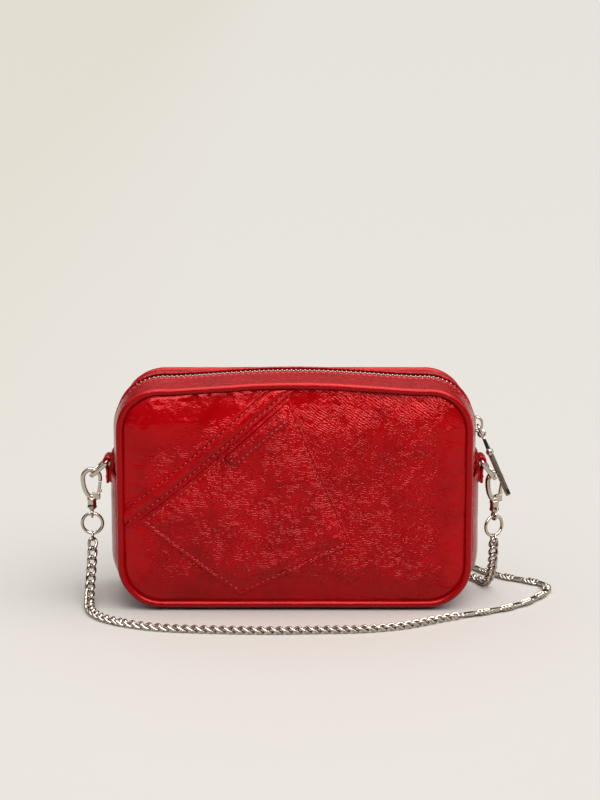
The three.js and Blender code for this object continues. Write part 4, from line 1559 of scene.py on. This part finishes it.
def hook_path():
    """From the foot of the hook up its back, over the bend and down to its tip."""
    foot, lean, rise, top = (0.4, -12.9), (-2.6, -11.4), (-HOOK_BEND, -7), (-HOOK_BEND, HOOK_BEND_Z)
    points = []
    for t in np.linspace(0, 1, 14, False):
        shares = ((1 - t) ** 3, 3 * (1 - t) ** 2 * t, 3 * (1 - t) * t**2, t**3)
        points.append([sum(s * p[i] for s, p in zip(shares, (foot, lean, rise, top))) for i in (0, 1)])
    for angle in np.linspace(math.pi, 0, 22):
        points.append((HOOK_BEND * math.cos(angle), HOOK_BEND_Z + HOOK_BEND * math.sin(angle)))
    points.append((HOOK_BEND, HOOK_BEND_Z - 1.2))
    return [(x, 0, z) for x, z in points]


def hook_section(t):
    """Thicker at the foot and over the bend, slimmer at the tip."""
    half = 1.1 + 0.12 * math.sin(math.pi * t) - 0.1 * t
    return block_section(1.2, half, 0.7, 4)


def raised(base, *profile):
    """A lathe profile whose heights are counted from a base."""
    return [(radius, base + z) for radius, z in profile]


def make_hook(word, matrix, px, pz):
    bend = sweep(hook_path(), (0, 1, 0), hook_section)
    barrel = lathe(
        raised(BARREL_BOTTOM, (1.5, 0), (2.3, 0.1), (2.6, 0.5), (2.6, 1.1), (2.35, 1.4))
        + raised(BARREL_TOP, (2.35, -1.2), (2.6, -0.9), (2.6, -0.1), (2.3, 0.3), (1.6, 0.5))
    )
    cheeks = [
        bevelled_block((0.2, y - 0.3, -13.1), (px + 0.9, y + 0.3, pz + 0.8), 0.28, 3) for y in (-1.05, 1.05)
    ]
    pin_turn = Matrix.Translation((px, 0, pz)) @ Matrix.Rotation(QUARTER, 4, "X")
    pin = moved(lathe([(0.6, -1.5), (0.75, -1.35), (0.75, 1.35), (0.6, 1.5)], 16), pin_turn)
    make_fitting("hook", word, "frame", moved(merge([bend, barrel, *cheeks, pin]), matrix))


def make_gate(word, matrix, px, pz):
    """A slim sprung bar from its pin to the hook's tip, with a thumb lever."""
    pivot, tip = Vector((px, 0, pz)), Vector((HOOK_BEND, 0, HOOK_BEND_Z - 1.35))
    points = [pivot + (tip - pivot) * t for t in np.linspace(0.02, 0.98, 8)]
    bar = sweep(points, (0, 1, 0), lambda t: block_section(0.62, 0.95 - 0.25 * t, 0.4))
    lever = bevelled_block((px + 0.5, -0.55, pz + 0.9), (px + 1.9, 0.55, pz + 2.3), 0.35, 3)
    make_fitting("gate", word, "lever", moved(merge([bar, lever]), matrix))


def make_swivel(word, matrix):
    stud = lathe(
        raised(EYE_Z, (1.0, 1.6))
        + raised(BARREL_BOTTOM, (1.5, -0.5), (1.9, -0.3), (1.9, -0.1), (1.1, 0.1))
        + raised(BARREL_TOP, (1.1, 0.7), (1.65, 0.8), (1.5, 1.7), (0.8, 2.0))
    )
    eye = moved(ring(1.85, 0.72), Matrix.Translation((0, 0, EYE_Z)) @ Matrix.Rotation(QUARTER, 4, "Z"))
    make_fitting("swivel", word, "stud", moved(merge([stud, eye]), matrix))
    centre = Matrix.Translation((0, 0, EYE_Z - O_RING_RADIUS))
    make_fitting("o_ring", word, "wire", moved(ring(O_RING_RADIUS, 0.87, 14, 64), matrix @ centre))


def make_side(word, side):
    make_zip_end(word, side)
    make_tab(word, side)
    make_d_ring(word)
    end = joint_point(f"hook_{word}_swing")
    across = Vector(JOINTS[f"o_ring_{word}_swing"]["axis"])
    matrix = Matrix.Translation(end) @ Matrix.Rotation(math.atan2(across.y, across.x), 4, "Z")
    gate = matrix.inverted() @ joint_point(f"gate_{word}_open")
    make_hook(word, matrix, gate.x, gate.z)
    make_gate(word, matrix, gate.x, gate.z)
    make_swivel(word, matrix)


make_side("left", -1)
make_side("right", 1)

# ---- Inside ----

for node, material in (("lining", LINING), ("slip_pocket", LINING), ("base_board", BOARD)):
    for slot in frame["nodes"][node].material_slots:
        slot.material = material

with open("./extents.json", "w") as out:
    json.dump({"cad": cad_bounds, "visual": [list(corner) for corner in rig.bounds()]}, out)
